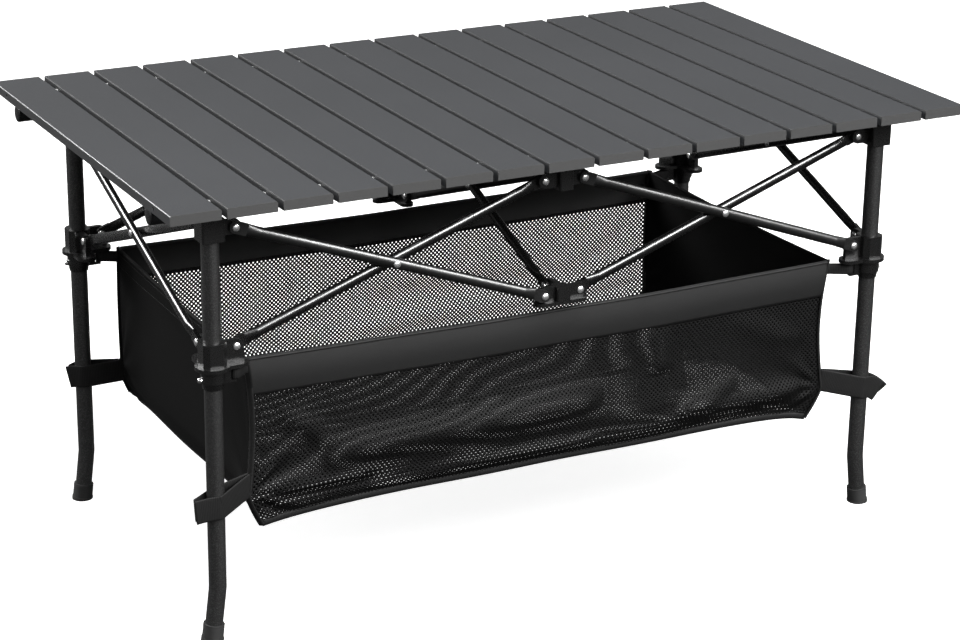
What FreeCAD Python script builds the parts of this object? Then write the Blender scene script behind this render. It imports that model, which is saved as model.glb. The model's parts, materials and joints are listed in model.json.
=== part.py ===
"""Folding camp kitchen table with a roll-up slatted top and a hanging storage basket.

Frame: origin on the floor under the middle of the table, +X to the right, +Y to the rear, +Z up.
The frame is seven scissor pairs between four legs: two along the front, two along the rear, and
one across each end and the middle.  Every strut end is riveted to a lug of a bracket.
"""
import FreeCAD
import Part
import Sketcher
import math
import os

from FreeCAD import Placement, Rotation, Vector

SIZES = {
    # table top
    "top_length": 950.0,
    "top_width": 550.0,
    "table_height": 500.0,
    "slat_gap": 6.0,
    "slat_thickness": 10.5,
    "slat_wall": 1.2,
    "slat_edge_radius": 1.4,
    "cap_thickness": 2.0,
    "cap_plug_depth": 8.0,
    "cap_play": 0.1,
    "cord_diameter": 3.0,
    "cord_hole_diameter": 4.0,
    "cord_inset": 46.0,
    "cord_end_inset": 12.0,
    # rails under the slats
    "rail_diameter": 19.0,
    "rail_wall": 1.5,
    "rail_inset": 5.0,
    # legs and feet
    "leg_diameter": 19.0,
    "leg_wall": 1.2,
    "leg_end": 5.0,
    "kink_height": 60.0,
    "kink_angle": 7.0,
    "kink_radius": 50.0,
    "foot_wall": 2.0,
    "foot_lip": 0.8,
    "foot_lip_height": 3.0,
    "foot_height": 19.0,
    # scissor linkage
    "strut_span": 358.0,
    "strut_rise": 129.0,
    "pivot_drop": 43.0,
    "pivot_reach": 26.0,
    "centre_reach": 23.0,
    # struts
    "strut_width": 12.0,
    "strut_depth": 9.0,
    "strut_wall": 1.0,
    "strut_tab_width": 13.0,
    "strut_tab_thickness": 4.0,
    "strut_tab_length": 13.0,
    "strut_taper": 15.0,
    # brackets
    "block_wall": 3.0,
    "block_roof": 2.0,
    "block_radius": 2.5,
    "block_below_pivot": 11.4,
    "lug_thickness": 5.0,
    "lug_radius": 8.0,
    "centre_block": 17.0,
    # sliders
    "hub_wall": 3.5,
    "hub_chamfer": 5.5,
    "hub_above_pivot": 8.5,
    "hub_below_pivot": 17.0,
    "flange_thickness": 4.0,
    "flange_radius": 18.5,
    "flange_lobe_radius": 11.0,
    "flange_lobe_reach": 28.0,
    "collar_wall": 3.5,
    "collar_height": 14.0,
    "collar_lip_wall": 2.25,
    "collar_lip_taper": 1.0,
    "collar_lip_height": 7.0,
    "hook_reach": 26.0,
    "hook_thickness": 4.0,
    "hook_slot_width": 3.0,
    "hook_slot_height": 13.0,
    "hook_slot_drop": 2.0,
    "hook_slot_margin": 5.0,
    "hook_web_below": 2.5,
    "button_diameter": 6.0,
    "button_drop": 32.0,
    "button_proud": 1.0,
    # rivets
    "rivet_diameter": 5.0,
    "rivet_head_diameter": 8.0,
    "rivet_dome_radius": 5.2,
    "rivet_head_play": 0.2,
    # clearances
    "running_play": 0.05,
    "side_gap": 0.3,
    # basket and its straps
    "basket_end_clearance": 42.0,
    "basket_side_clearance": 10.0,
    "basket_top_height": 308.0,
    "basket_bottom_height": 122.0,
    "basket_wall": 2.0,
    "basket_corner_radius": 18.0,
    "strap_height": 32.0,
    "strap_middle_height": 156.0,
    "strap_thickness": 1.6,
    "strap_play": 0.6,
}
SLAT_COUNT = 16
BITE = 2.0      # how far a fused piece reaches into its neighbour
LOBE_SHIFT = 1.0  # how far past its rivet a centre bracket's flange is centred
TAB_LAP = 0.5    # how far a strut's flat end runs into its taper
OVERRUN = 1.0   # how far a cutting tool runs past the piece that it cuts

X_AXIS = Vector(1, 0, 0)
Y_AXIS = Vector(0, 1, 0)
Z_AXIS = Vector(0, 0, 1)
UPRIGHT = Rotation()
ALONG_X = Rotation(Y_AXIS, 90)
ALONG_Y = Rotation(X_AXIS, -90)

doc = FreeCAD.newDocument("camp_kitchen_table")
sheet = doc.addObject("Spreadsheet::Sheet", "Sizes")
for row, (alias, value) in enumerate(SIZES.items(), start=1):
    sheet.set("A%d" % row, alias)
    sheet.set("B%d" % row, str(value))
    sheet.setAlias("B%d" % row, alias)
doc.recompute()

nodes = []


def size(alias):
    """The value of a named size, read back from the sheet."""
    return float(sheet.get(alias))


def bind(thing, **formulas):
    """Bind properties to formulas in which a word of the sheet is written with a leading $."""
    for name, formula in formulas.items():
        thing.setExpression(name.replace("__", "."), str(formula).replace("$", "Sizes."))
    return thing


def put(thing, at, rotation=UPRIGHT):
    thing.Placement = Placement(Vector(*at), rotation)
    return thing


def box(name, length, width, height, at, rotation=UPRIGHT):
    """A box whose sides are formulas; at is its lowest corner."""
    thing = bind(doc.addObject("Part::Box", name), Length=length, Width=width, Height=height)
    return put(thing, at, rotation)


def cylinder(name, radius, height, at, rotation=UPRIGHT):
    """A cylinder whose radius and height are formulas; at is the middle of its first end."""
    thing = bind(doc.addObject("Part::Cylinder", name), Radius=radius, Height=height)
    return put(thing, at, rotation)


def cone(name, radius_low, radius_high, height, at, rotation=UPRIGHT):
    thing = doc.addObject("Part::Cone", name)
    bind(thing, Radius1=radius_low, Radius2=radius_high, Height=height)
    return put(thing, at, rotation)


def fuse(name, things):
    thing = doc.addObject("Part::MultiFuse", name)
    thing.Shapes = things
    return thing


def cut(name, base, tools):
    """The base with each of the tools taken away."""
    thing = doc.addObject("Part::Cut", name)
    thing.Base = base
    thing.Tool = tools[0] if len(tools) == 1 else fuse(name + "_tools", tools)
    return thing


def group(name, things):
    """Separate solids that belong to one node."""
    thing = doc.addObject("Part::Compound", name)
    thing.Links = things
    return thing


def node(name, thing):
    """Give the finished sub-part its node name."""
    thing.Label = name
    nodes.append((name, thing))
    return thing


def upright_edges(thing):
    """Indices of the edges of a box that run along Z."""
    doc.recompute()
    found = []
    for index, edge in enumerate(thing.Shape.Edges, start=1):
        ends = [vertex.Point for vertex in edge.Vertexes]
        if len(ends) == 2 and abs((ends[1] - ends[0]).normalize().z) > 0.99:
            found.append(index)
    return found


def eased_box(name, kind, amount, base):
    """A box with its upright edges filleted or chamfered by a named size."""
    thing = doc.addObject("Part::" + kind, name)
    thing.Base = base
    thing.Edges = [(index, size(amount), size(amount)) for index in upright_edges(base)]
    return thing


# ---------------------------------------------------------------- shared places

def leg_x():
    """Distance of a leg's axis from the middle, along X."""
    return size("strut_span") + size("pivot_reach") + size("centre_reach")


def leg_y():
    """Distance of a leg's axis from the middle, along Y."""
    return size("strut_span") / 2 + size("pivot_reach")


PIVOT_TOP = size("table_height") - size("pivot_drop")
PIVOT_LOW = PIVOT_TOP - size("strut_rise")
SLAT_UNDERSIDE = size("table_height") - size("slat_thickness")
RAIL_HEIGHT = SLAT_UNDERSIDE - size("side_gap") - size("rail_diameter") / 2
BRACKET_TOP = RAIL_HEIGHT - size("rail_diameter") / 2 - size("side_gap")
FLANGE_TOP = PIVOT_LOW - size("hub_below_pivot")
FLANGE_BOTTOM = FLANGE_TOP - size("flange_thickness")
STRUT_LENGTH = math.hypot(size("strut_span"), size("strut_rise"))
STRUT_ANGLE = math.degrees(math.atan2(size("strut_rise"), size("strut_span")))
STRUT_OFFSET = size("lug_thickness") / 2 + size("side_gap") + size("strut_tab_thickness") / 2
HUB_WIDTH = size("leg_diameter") + 2 * size("hub_wall")
BLOCK_WIDTH = size("leg_diameter") + 2 * size("block_wall")
COLLAR_DIAMETER = size("leg_diameter") + 2 * size("collar_wall")
FOOT_DIAMETER = size("leg_diameter") + 2 * size("foot_wall")
LEG_TOP = BRACKET_TOP - size("block_roof") - size("block_radius")
CORNERS = {"front_left": (-1, -1), "front_right": (1, -1), "rear_left": (-1, 1), "rear_right": (1, 1)}


# ---------------------------------------------------------------- legs and feet

def leg_line(name, radius, extra=0.0):
    """The solid line of a leg: upright, a short bend, and a lower end that leans outwards (-X)."""
    lean = math.radians(size("kink_angle"))
    bend = size("kink_radius")
    bend_top = size("kink_height") + bend * math.tan(lean / 2)
    top = LEG_TOP - size("side_gap") + extra
    bend_end = Vector(-bend + bend * math.cos(lean), 0, bend_top - bend * math.sin(lean))
    lower = (bend_end.z - size("leg_end") + extra) / math.cos(lean)
    start = bend_end - Vector(math.sin(lean), 0, math.cos(lean)) * lower
    upper_part = cylinder(name + "_upper", radius, top - bend_top, (0, 0, bend_top))
    bend_part = doc.addObject("Part::Torus", name + "_bend")
    bind(bend_part, Radius1="$kink_radius", Radius2=radius, Angle3="$kink_angle")
    put(bend_part, (-bend, 0, bend_top), Rotation(X_AXIS, -90))
    tilt = Rotation(Y_AXIS, size("kink_angle"))
    lower_part = cylinder(name + "_lower", radius, lower, tuple(start), tilt)
    return fuse(name, [upper_part, bend_part, lower_part])


def build_leg(corner, side_x, side_y):
    """A bent tube, open at both ends, which stands in its foot and its corner bracket."""
    name = "leg_" + corner
    outside = leg_line(name + "_outside", "$leg_diameter / 2")
    bore = leg_line(name + "_bore", "$leg_diameter / 2 - $leg_wall", extra=OVERRUN)
    leg = cut(name, outside, [bore])
    turn = Rotation(Z_AXIS, 0 if side_x < 0 else 180)
    leg.Placement = Placement(Vector(side_x * leg_x(), side_y * leg_y(), 0), turn)
    node(name, leg)


def build_foot(corner, side_x, side_y):
    """A rubber boot round the leaning end of the leg, cut flat by the floor."""
    name = "foot_" + corner
    lean = math.radians(size("kink_angle"))
    slope = Vector(math.sin(lean), 0, math.cos(lean))
    knee = Vector(0, 0, size("kink_height"))
    tilt = Rotation(Y_AXIS, size("kink_angle"))
    below = knee - slope * ((knee.z + FOOT_DIAMETER / 2) / math.cos(lean))
    seat = knee - slope * ((knee.z - size("leg_end")) / math.cos(lean))
    radius = "$leg_diameter / 2 + $foot_wall"
    body = cylinder(name + "_body", radius, "$foot_height + " + radius, tuple(below), tilt)
    lip = cylinder(name + "_lip", radius + " + $foot_lip", "$foot_lip_height + " + radius,
                   tuple(below), tilt)
    floor = box(name + "_floor", 4 * FOOT_DIAMETER, 4 * FOOT_DIAMETER, FOOT_DIAMETER,
                (below.x - 2 * FOOT_DIAMETER, -2 * FOOT_DIAMETER, -FOOT_DIAMETER))
    socket = cylinder(name + "_socket", "$leg_diameter / 2 + $running_play", "$foot_height",
                      tuple(seat), tilt)
    foot = cut(name, fuse(name + "_outside", [body, lip]), [floor, socket])
    turn = Rotation(Z_AXIS, 0 if side_x < 0 else 180)
    foot.Placement = Placement(Vector(side_x * leg_x(), side_y * leg_y(), 0), turn)
    node(name, foot)


# ---------------------------------------------------------------- rivets and lugs

def rivet(name, at, direction, low, high):
    """A rivet along a direction, from low to high about the point at, with a dome on each end."""
    turn = Rotation(Z_AXIS, direction)
    base = Vector(*at) + direction * low
    shank = cylinder(name + "_shank", "$rivet_diameter / 2", high - low, tuple(base), turn)
    parts = [shank]
    sine = math.sqrt(1 - (size("rivet_head_diameter") / 2 / size("rivet_dome_radius")) ** 2)
    for end, distance, facing in (("first", low, -1), ("second", high, 1)):
        dome = doc.addObject("Part::Sphere", name + "_" + end)
        bind(dome, Radius="$rivet_dome_radius",
             Angle1="acos($rivet_head_diameter / 2 / $rivet_dome_radius)")
        sink = size("rivet_dome_radius") * sine
        middle = Vector(*at) + direction * (distance - facing * sink)
        put(dome, tuple(middle), Rotation(Z_AXIS, direction * facing))
        parts.append(dome)
    return fuse(name, parts)


def lug(name, axis, side, start, reach, height, pivot_height, lower):
    """A plate from a block to a rivet: a bar with a round end, and the hole for the rivet.

    axis is "x" or "y", the way that the lug points, and side its sign.  The plate lies in the
    plane through the block's own axis, from lower up to the top of its round end.
    """
    bar_length = reach - start
    along = X_AXIS if axis == "x" else Y_AXIS
    across = Y_AXIS if axis == "x" else X_AXIS
    turn = ALONG_Y if axis == "x" else ALONG_X
    half = size("lug_thickness") / 2
    begin = along * (side * start) if side > 0 else along * (-reach)
    corner = begin - across * half + Z_AXIS * lower
    sides = (bar_length, "$lug_thickness") if axis == "x" else ("$lug_thickness", bar_length)
    bar = box(name + "_bar", sides[0], sides[1], height, tuple(corner))
    pivot = along * (side * reach) + Z_AXIS * pivot_height
    end = cylinder(name + "_end", "$lug_radius", "$lug_thickness", tuple(pivot - across * half), turn)
    hole = cylinder(name + "_hole", "$rivet_diameter / 2 + $running_play", "3 * $lug_thickness",
                    tuple(pivot - across * 3 * half), turn)
    return [bar, end], hole, pivot, across


def lug_rivet(name, pivot, across, strut_side):
    """The rivet of a lug: flush on the lug's bare face, and past the strut on the other."""
    half = size("lug_thickness") / 2
    grip = half + size("side_gap") + size("strut_tab_thickness") + size("rivet_head_play")
    return rivet(name, tuple(pivot), across * strut_side, -half, grip)


# ---------------------------------------------------------------- brackets

def build_corner_bracket(corner, side_x, side_y, strut_side_x, strut_side_y):
    """The block on top of a leg, with one lug along X and one along Y, both pointing inwards."""
    name = "corner_bracket_" + corner
    low = PIVOT_TOP - size("block_below_pivot")
    half = BLOCK_WIDTH / 2
    wide = "$leg_diameter + 2 * $block_wall"
    blank = box(name + "_blank", wide, wide, BRACKET_TOP - low, (-half, -half, low))
    block = eased_box(name + "_block", "Fillet", "block_radius", blank)
    solids = [block]
    holes = [cylinder(name + "_socket", "$leg_diameter / 2 + $running_play",
                      LEG_TOP - low + OVERRUN, (0, 0, low - OVERRUN))]
    rivets = []
    for axis, side, strut_side in (("x", -side_x, strut_side_x), ("y", -side_y, strut_side_y)):
        tall = size("lug_radius") * 2
        plate, hole, pivot, across = lug(name + "_lug_" + axis, axis, side, half - BITE,
                                         size("pivot_reach"), tall, PIVOT_TOP,
                                         PIVOT_TOP - size("lug_radius"))
        solids += plate
        holes.append(hole)
        rivets.append(lug_rivet(name + "_rivet_" + axis, pivot, across, strut_side))
    body = cut(name + "_body", fuse(name + "_solid", solids), holes)
    bracket = group(name, [body] + rivets)
    bracket.Placement = Placement(Vector(side_x * leg_x(), side_y * leg_y(), 0), UPRIGHT)
    node(name, bracket)


def build_slider(corner, side_x, side_y, strut_side_x, strut_side_y):
    """The sliding bracket: chamfered hub, two lugs, a flange, a collar and the basket's hook."""
    name = "slider_" + corner
    half = HUB_WIDTH / 2
    wide = "$leg_diameter + 2 * $hub_wall"
    blank = box(name + "_blank", wide, wide, "$hub_above_pivot + $hub_below_pivot",
                (-half, -half, FLANGE_TOP))
    solids = [eased_box(name + "_hub", "Chamfer", "hub_chamfer", blank)]
    solids.append(cylinder(name + "_flange", "$flange_radius", "$flange_thickness",
                           (0, 0, FLANGE_BOTTOM)))
    holes = []
    rivets = []
    for axis, side, strut_side in (("x", -side_x, strut_side_x), ("y", -side_y, strut_side_y)):
        tall = PIVOT_LOW + size("lug_radius") - FLANGE_TOP
        plate, hole, pivot, across = lug(name + "_lug_" + axis, axis, side, half - BITE,
                                         size("pivot_reach"), tall, PIVOT_LOW, FLANGE_TOP)
        solids += plate
        holes.append(hole)
        along = X_AXIS if axis == "x" else Y_AXIS
        foot_length = size("lug_radius")
        toe_start = size("pivot_reach") if side > 0 else -size("pivot_reach") - foot_length
        toe_height = PIVOT_LOW - FLANGE_TOP
        toe_corner = along * toe_start - across * (size("lug_thickness") / 2) + Z_AXIS * FLANGE_TOP
        toe_sides = ("$lug_radius", "$lug_thickness") if axis == "x" else ("$lug_thickness", "$lug_radius")
        solids.append(box(name + "_toe_" + axis, toe_sides[0], toe_sides[1], toe_height,
                          tuple(toe_corner)))
        lobe_at = along * (side * size("flange_lobe_reach")) + Z_AXIS * FLANGE_BOTTOM
        solids.append(cylinder(name + "_lobe_" + axis, "$flange_lobe_radius", "$flange_thickness",
                               tuple(lobe_at)))
        bridge = size("flange_lobe_reach")
        bridge_start = 0 if side > 0 else -bridge
        bridge_corner = along * bridge_start - across * size("flange_lobe_radius")
        bridge_corner = bridge_corner + Z_AXIS * FLANGE_BOTTOM
        wide = "2 * $flange_lobe_radius"
        bridge_sides = (bridge, wide) if axis == "x" else (wide, bridge)
        solids.append(box(name + "_bridge_" + axis, bridge_sides[0], bridge_sides[1],
                          "$flange_thickness", tuple(bridge_corner)))
        rivets.append(lug_rivet(name + "_rivet_" + axis, pivot, across, strut_side))
    collar_low = FLANGE_BOTTOM - size("collar_height")
    lip_low = collar_low - size("collar_lip_height")
    solids.append(cylinder(name + "_collar", "$leg_diameter / 2 + $collar_wall", "$collar_height",
                           (0, 0, collar_low)))
    lip = "$leg_diameter / 2 + $collar_lip_wall"
    solids.append(cone(name + "_lip", lip + " - $collar_lip_taper", lip, "$collar_lip_height",
                       (0, 0, lip_low)))
    hook_start = COLLAR_DIAMETER / 2 - BITE
    hook_length = size("hook_reach") - hook_start
    hook_x = hook_start if side_x < 0 else -size("hook_reach")
    slot_low = FLANGE_BOTTOM - size("hook_slot_height") - size("hook_slot_drop")
    hook_low = slot_low - size("hook_web_below")
    solids.append(box(name + "_hook", hook_length, "$hook_thickness", FLANGE_BOTTOM - hook_low,
                      (hook_x, -size("hook_thickness") / 2, hook_low)))
    slot_x = -side_x * (size("hook_reach") - size("hook_slot_margin")) - size("hook_slot_width") / 2
    holes.append(box(name + "_slot", "$hook_slot_width", "3 * $hook_thickness", "$hook_slot_height",
                     (slot_x, -1.5 * size("hook_thickness"), slot_low)))
    holes.append(cylinder(name + "_bore", "$leg_diameter / 2 + $running_play",
                          PIVOT_LOW + 2 * size("hub_above_pivot") - lip_low, (0, 0, lip_low - OVERRUN)))
    holes.append(cylinder(name + "_button_hole", "$button_diameter / 2 + $running_play",
                          COLLAR_DIAMETER, (0, 0, PIVOT_LOW - size("button_drop")),
                          Rotation(Z_AXIS, Vector(side_x, 0, 0))))
    body = cut(name + "_body", fuse(name + "_solid", solids), holes)
    slider = group(name, [body] + rivets)
    slider.Placement = Placement(Vector(side_x * leg_x(), side_y * leg_y(), 0), UPRIGHT)
    node(name, slider)


def build_button(corner, side_x, side_y):
    """The spring plunger that locks a slider: a pin through the collar with a domed head."""
    name = "button_" + corner
    turn = Rotation(Z_AXIS, Vector(side_x, 0, 0))
    height = PIVOT_LOW - size("button_drop")
    start = size("leg_diameter") / 2 + size("side_gap")
    stop = COLLAR_DIAMETER / 2 + size("button_proud")
    pin = cylinder(name + "_pin", "$button_diameter / 2", stop - start, (side_x * start, 0, height), turn)
    dome = doc.addObject("Part::Sphere", name + "_dome")
    bind(dome, Radius="$button_diameter / 2", Angle1=0)
    put(dome, (side_x * stop, 0, height), turn)
    button = fuse(name, [pin, dome])
    button.Placement = Placement(Vector(side_x * leg_x(), side_y * leg_y(), 0), UPRIGHT)
    node(name, button)


def build_centre_bracket(name, side_y, pivot_height, low, high, flange, sides):
    """A bracket halfway along the front or rear, with a lug to each side and one inwards.

    sides gives, for the lugs to the left, to the right and inwards, the side its strut is on.
    """
    half = size("centre_block") / 2
    blank = box(name + "_blank", "$centre_block", "$centre_block", high - low, (-half, -half, low))
    solids = [eased_box(name + "_block", "Fillet", "block_radius", blank)]
    holes = []
    rivets = []
    ways = (("x", -1, size("centre_reach"), sides[0]), ("x", 1, size("centre_reach"), sides[1]),
            ("y", -side_y, size("pivot_reach"), sides[2]))
    for number, (axis, side, reach, strut_side) in enumerate(ways):
        label = "%s_%s%d" % (name, axis, number)
        plate, hole, pivot, across = lug(label, axis, side, half - BITE, reach, size("lug_radius") * 2,
                                         pivot_height, pivot_height - size("lug_radius"))
        solids += plate
        holes.append(hole)
        rivets.append(lug_rivet(label + "_rivet", pivot, across, strut_side))
        if flange:
            along = X_AXIS if axis == "x" else Y_AXIS
            lobe_at = along * (side * (reach + LOBE_SHIFT)) + Z_AXIS * (low - size("flange_thickness"))
            lobe = size("lug_radius")
            solids.append(cylinder(label + "_lobe", "$lug_radius", "$flange_thickness", tuple(lobe_at)))
            bridge_start = 0 if side > 0 else -reach - LOBE_SHIFT
            corner = along * bridge_start - across * lobe + Z_AXIS * (low - size("flange_thickness"))
            wide = "2 * $lug_radius"
            plan = (reach + LOBE_SHIFT, wide) if axis == "x" else (wide, reach + LOBE_SHIFT)
            solids.append(box(label + "_bridge", plan[0], plan[1], "$flange_thickness", tuple(corner)))
            web_start = half - BITE if side > 0 else -reach
            web = along * web_start - across * (size("lug_thickness") / 2) + Z_AXIS * low
            web_length = reach - half + BITE
            plan = (web_length, "$lug_thickness") if axis == "x" else ("$lug_thickness", web_length)
            solids.append(box(label + "_web", plan[0], plan[1], pivot_height - low, tuple(web)))
    body = cut(name + "_body", fuse(name + "_solid", solids), holes)
    bracket = group(name, [body] + rivets)
    bracket.Placement = Placement(Vector(0, side_y * leg_y(), 0), UPRIGHT)
    node(name, bracket)


# ---------------------------------------------------------------- struts

def oval(name, wide, deep, position):
    """An ellipse across the strut: wide in its plane, deep across it."""
    thing = bind(doc.addObject("Part::Ellipse", name), MajorRadius=wide, MinorRadius=deep)
    return put(thing, (position, 0, 0), Rotation(Y_AXIS, -90))


def build_strut(name, start, heading, slope, offset, holds_rivet):
    """An oval tube with flattened ends, from one pivot to the other.

    start is the first pivot, heading the level direction to the second one, slope -1 for a strut
    that falls and 1 for one that rises, and offset the strut's place across the scissor's plane.
    """
    tab = size("strut_tab_length")
    taper = size("strut_taper")
    wide = "$strut_tab_width / 2"
    flat = "$strut_tab_thickness / 2"
    stations = ((tab, wide, flat), (tab + taper, "$strut_width / 2", "$strut_depth / 2"),
                (STRUT_LENGTH - tab - taper, "$strut_width / 2", "$strut_depth / 2"),
                (STRUT_LENGTH - tab, wide, flat))
    outside = doc.addObject("Part::Loft", name + "_outside")
    outside.Sections = [oval("%s_oval%d" % (name, number), major, minor, position)
                        for number, (position, major, minor) in enumerate(stations)]
    core = doc.addObject("Part::Loft", name + "_core")
    inner = ("$strut_width / 2 - $strut_wall", "$strut_depth / 2 - $strut_wall")
    core.Sections = [oval(name + "_core0", inner[0], inner[1], tab + taper),
                     oval(name + "_core1", inner[0], inner[1], STRUT_LENGTH - tab - taper)]
    for loft in (outside, core):
        loft.Solid = True
        loft.Ruled = True
    solids = [outside]
    holes = []
    half_thick = size("strut_tab_thickness") / 2
    half_wide = size("strut_tab_width") / 2
    for end, position in (("near", 0.0), ("far", STRUT_LENGTH)):
        left = 0.0 if end == "near" else STRUT_LENGTH - tab - TAB_LAP
        solids.append(box("%s_tab_%s" % (name, end), "$strut_tab_length + %s" % TAB_LAP, "$strut_tab_thickness",
                          "$strut_tab_width", (left, -half_thick, -half_wide)))
        solids.append(cylinder("%s_end_%s" % (name, end), wide, "$strut_tab_thickness",
                               (position, -half_thick, 0), ALONG_Y))
    for number, position in enumerate((0.0, STRUT_LENGTH / 2, STRUT_LENGTH)):
        holes.append(cylinder("%s_hole%d" % (name, number), "$rivet_diameter / 2 + $running_play",
                              "4 * $strut_depth", (position, -2 * size("strut_depth"), 0), ALONG_Y))
    tube = cut(name + "_tube", fuse(name + "_solid", solids), [core] + holes)
    parts = [tube]
    if holds_rivet:
        sign = 1 if holds_rivet > 0 else -1
        near = size("strut_depth") / 2
        far = 2 * STRUT_OFFSET + size("strut_depth") / 2 + size("rivet_head_play")
        parts.append(rivet(name + "_rivet", (STRUT_LENGTH / 2, 0, 0), Y_AXIS * sign, -near, far))
    strut = group(name, parts)
    turn = Rotation(Z_AXIS, 0 if heading == "x" else 90)
    lean = Rotation(Y_AXIS, -slope * STRUT_ANGLE)
    across = Y_AXIS if heading == "x" else X_AXIS
    strut.Placement = Placement(Vector(*start) + across * offset, turn.multiply(lean))
    node(name, strut)


def build_scissor(first, second, start, heading, first_offset):
    """Two crossed struts. The first falls away from the upper start pivot, the second rises."""
    low_start = (start[0], start[1], start[2] - size("strut_rise"))
    build_strut(first, start, heading, -1, first_offset, 0)
    away = 1 if first_offset > 0 else -1
    if heading == "y":
        away = -away
    build_strut(second, low_start, heading, 1, -first_offset, away)


# ---------------------------------------------------------------- top

def slat_pitch():
    return (size("top_length") + size("slat_gap")) / SLAT_COUNT


def plane_of(body, role):
    return next(feature for feature in body.Origin.OriginFeatures if feature.Role == role)


def rectangle(sketch, width, height, inset):
    """A rectangle in a sketch, its width, height and inset bound to formulas."""
    first = sketch.GeometryCount
    corners = [(0, 0), (10, 0), (10, 5), (0, 5)]
    for index in range(4):
        start = Vector(*corners[index], 0)
        finish = Vector(*corners[(index + 1) % 4], 0)
        sketch.addGeometry(Part.LineSegment(start, finish), False)
    for index in range(4):
        sketch.addConstraint(Sketcher.Constraint("Coincident", first + index, 2,
                                                 first + (index + 1) % 4, 1))
    for index, kind in enumerate(("Horizontal", "Vertical", "Horizontal", "Vertical")):
        sketch.addConstraint(Sketcher.Constraint(kind, first + index))
    rules = (("DistanceX", first, 1, first, 2, width), ("DistanceY", first + 1, 1, first + 1, 2, height),
             ("DistanceX", -1, 1, first, 1, inset), ("DistanceY", -1, 1, first, 1, inset))
    for kind, geo_a, pos_a, geo_b, pos_b, formula in rules:
        number = sketch.addConstraint(Sketcher.Constraint(kind, geo_a, pos_a, geo_b, pos_b, 1.0))
        if formula == "0":
            sketch.setDatum(number, FreeCAD.Units.Quantity("0 mm"))
        else:
            bind(sketch, **{"Constraints[%d]" % number: formula})


def build_slat(number):
    """A hollow extrusion with a plugged cap on each end, all the width of the table."""
    name = "slat_%02d" % number
    width = "(($top_length + $slat_gap) / %d - $slat_gap)" % SLAT_COUNT
    body = doc.addObject("PartDesign::Body", name + "_tube")
    sketch = body.newObject("Sketcher::SketchObject", name + "_section")
    sketch.AttachmentSupport = [(plane_of(body, "XZ_Plane"), "")]
    sketch.MapMode = "FlatFace"
    rectangle(sketch, width, "$slat_thickness", "0")
    rectangle(sketch, width + " - 2 * $slat_wall", "$slat_thickness - 2 * $slat_wall", "$slat_wall")
    pad = body.newObject("PartDesign::Pad", name + "_length")
    pad.Profile = sketch
    bind(pad, Length="$top_width - 2 * $cap_thickness")
    pad.Reversed = True
    doc.recompute()
    top_edges = [index for index, edge in enumerate(pad.Shape.Edges, start=1)
                 if abs(edge.CenterOfMass.z - size("slat_thickness")) < 1e-6
                 and abs(edge.CenterOfMass.y - (size("top_width") / 2 - size("cap_thickness"))) < 1e-3]
    round_over = body.newObject("PartDesign::Fillet", name + "_edges")
    round_over.Base = (pad, ["Edge%d" % index for index in top_edges])
    bind(round_over, Radius="$slat_edge_radius")
    body.Placement = Placement(Vector(0, size("cap_thickness"), 0), UPRIGHT)
    real_width = slat_pitch() - size("slat_gap")
    wall = size("slat_wall") + size("cap_play")
    caps = []
    for end, flange_y, plug_y in (("front", 0.0, size("cap_thickness")),
                                  ("rear", size("top_width") - size("cap_thickness"),
                                   size("top_width") - size("cap_thickness") - size("cap_plug_depth"))):
        plate = box("%s_%s_plate" % (name, end), real_width, "$cap_thickness", "$slat_thickness",
                    (0, flange_y, 0))
        doc.recompute()
        eased = doc.addObject("Part::Fillet", "%s_%s_eased" % (name, end))
        eased.Base = plate
        tops = [index for index, edge in enumerate(plate.Shape.Edges, start=1)
                if abs(edge.CenterOfMass.z - size("slat_thickness")) < 1e-6
                and abs(edge.CenterOfMass.x - real_width / 2) > 1.0]
        eased.Edges = [(index, size("slat_edge_radius"), size("slat_edge_radius")) for index in tops]
        plug = box("%s_%s_plug" % (name, end), real_width - 2 * wall, "$cap_plug_depth",
                   "$slat_thickness - 2 * ($slat_wall + $cap_play)", (wall, plug_y, wall))
        caps.append(fuse("%s_cap_%s" % (name, end), [eased, plug]))
    drills = []
    for end, drill_y in (("front", size("cord_inset")), ("rear", size("top_width") - size("cord_inset"))):
        drills.append(cylinder("%s_%s_drill" % (name, end), "$cord_hole_diameter / 2", real_width + 2 * OVERRUN,
                               (-OVERRUN, drill_y, size("slat_thickness") / 2), ALONG_X))
    tube = cut(name + "_drilled", body, drills)
    slat = group(name, [tube] + caps)
    left = -size("top_length") / 2 + (number - 1) * slat_pitch()
    slat.Placement = Placement(Vector(left, -size("top_width") / 2, SLAT_UNDERSIDE), UPRIGHT)
    node(name, slat)


def build_cord(name, side_y):
    """The elastic cord that strings the slats together, through the middle of their thickness."""
    cord = cylinder(name, "$cord_diameter / 2", "$top_length - 2 * $cord_end_inset", (0, 0, 0))
    cord.Placement = Placement(Vector(-size("top_length") / 2 + size("cord_end_inset"),
                                      side_y * (size("top_width") / 2 - size("cord_inset")),
                                      SLAT_UNDERSIDE + size("slat_thickness") / 2), ALONG_X)
    node(name, cord)


def build_rail(name, side_y):
    """A round tube along the table, over the legs of one side, which carries the slats."""
    long = size("top_length") - 2 * size("rail_inset")
    tube = cylinder(name + "_outside", "$rail_diameter / 2", "$top_length - 2 * $rail_inset",
                    (0, 0, 0))
    bore = cylinder(name + "_bore", "$rail_diameter / 2 - $rail_wall", long + 2 * OVERRUN, (0, 0, -OVERRUN))
    rail = cut(name, tube, [bore])
    rail.Placement = Placement(Vector(-long / 2, side_y * leg_y(), RAIL_HEIGHT), ALONG_X)
    node(name, rail)


# ---------------------------------------------------------------- basket

def basket_half_length():
    return leg_x() - size("basket_end_clearance")


def basket_half_width():
    return leg_y() - size("basket_side_clearance")


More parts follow.
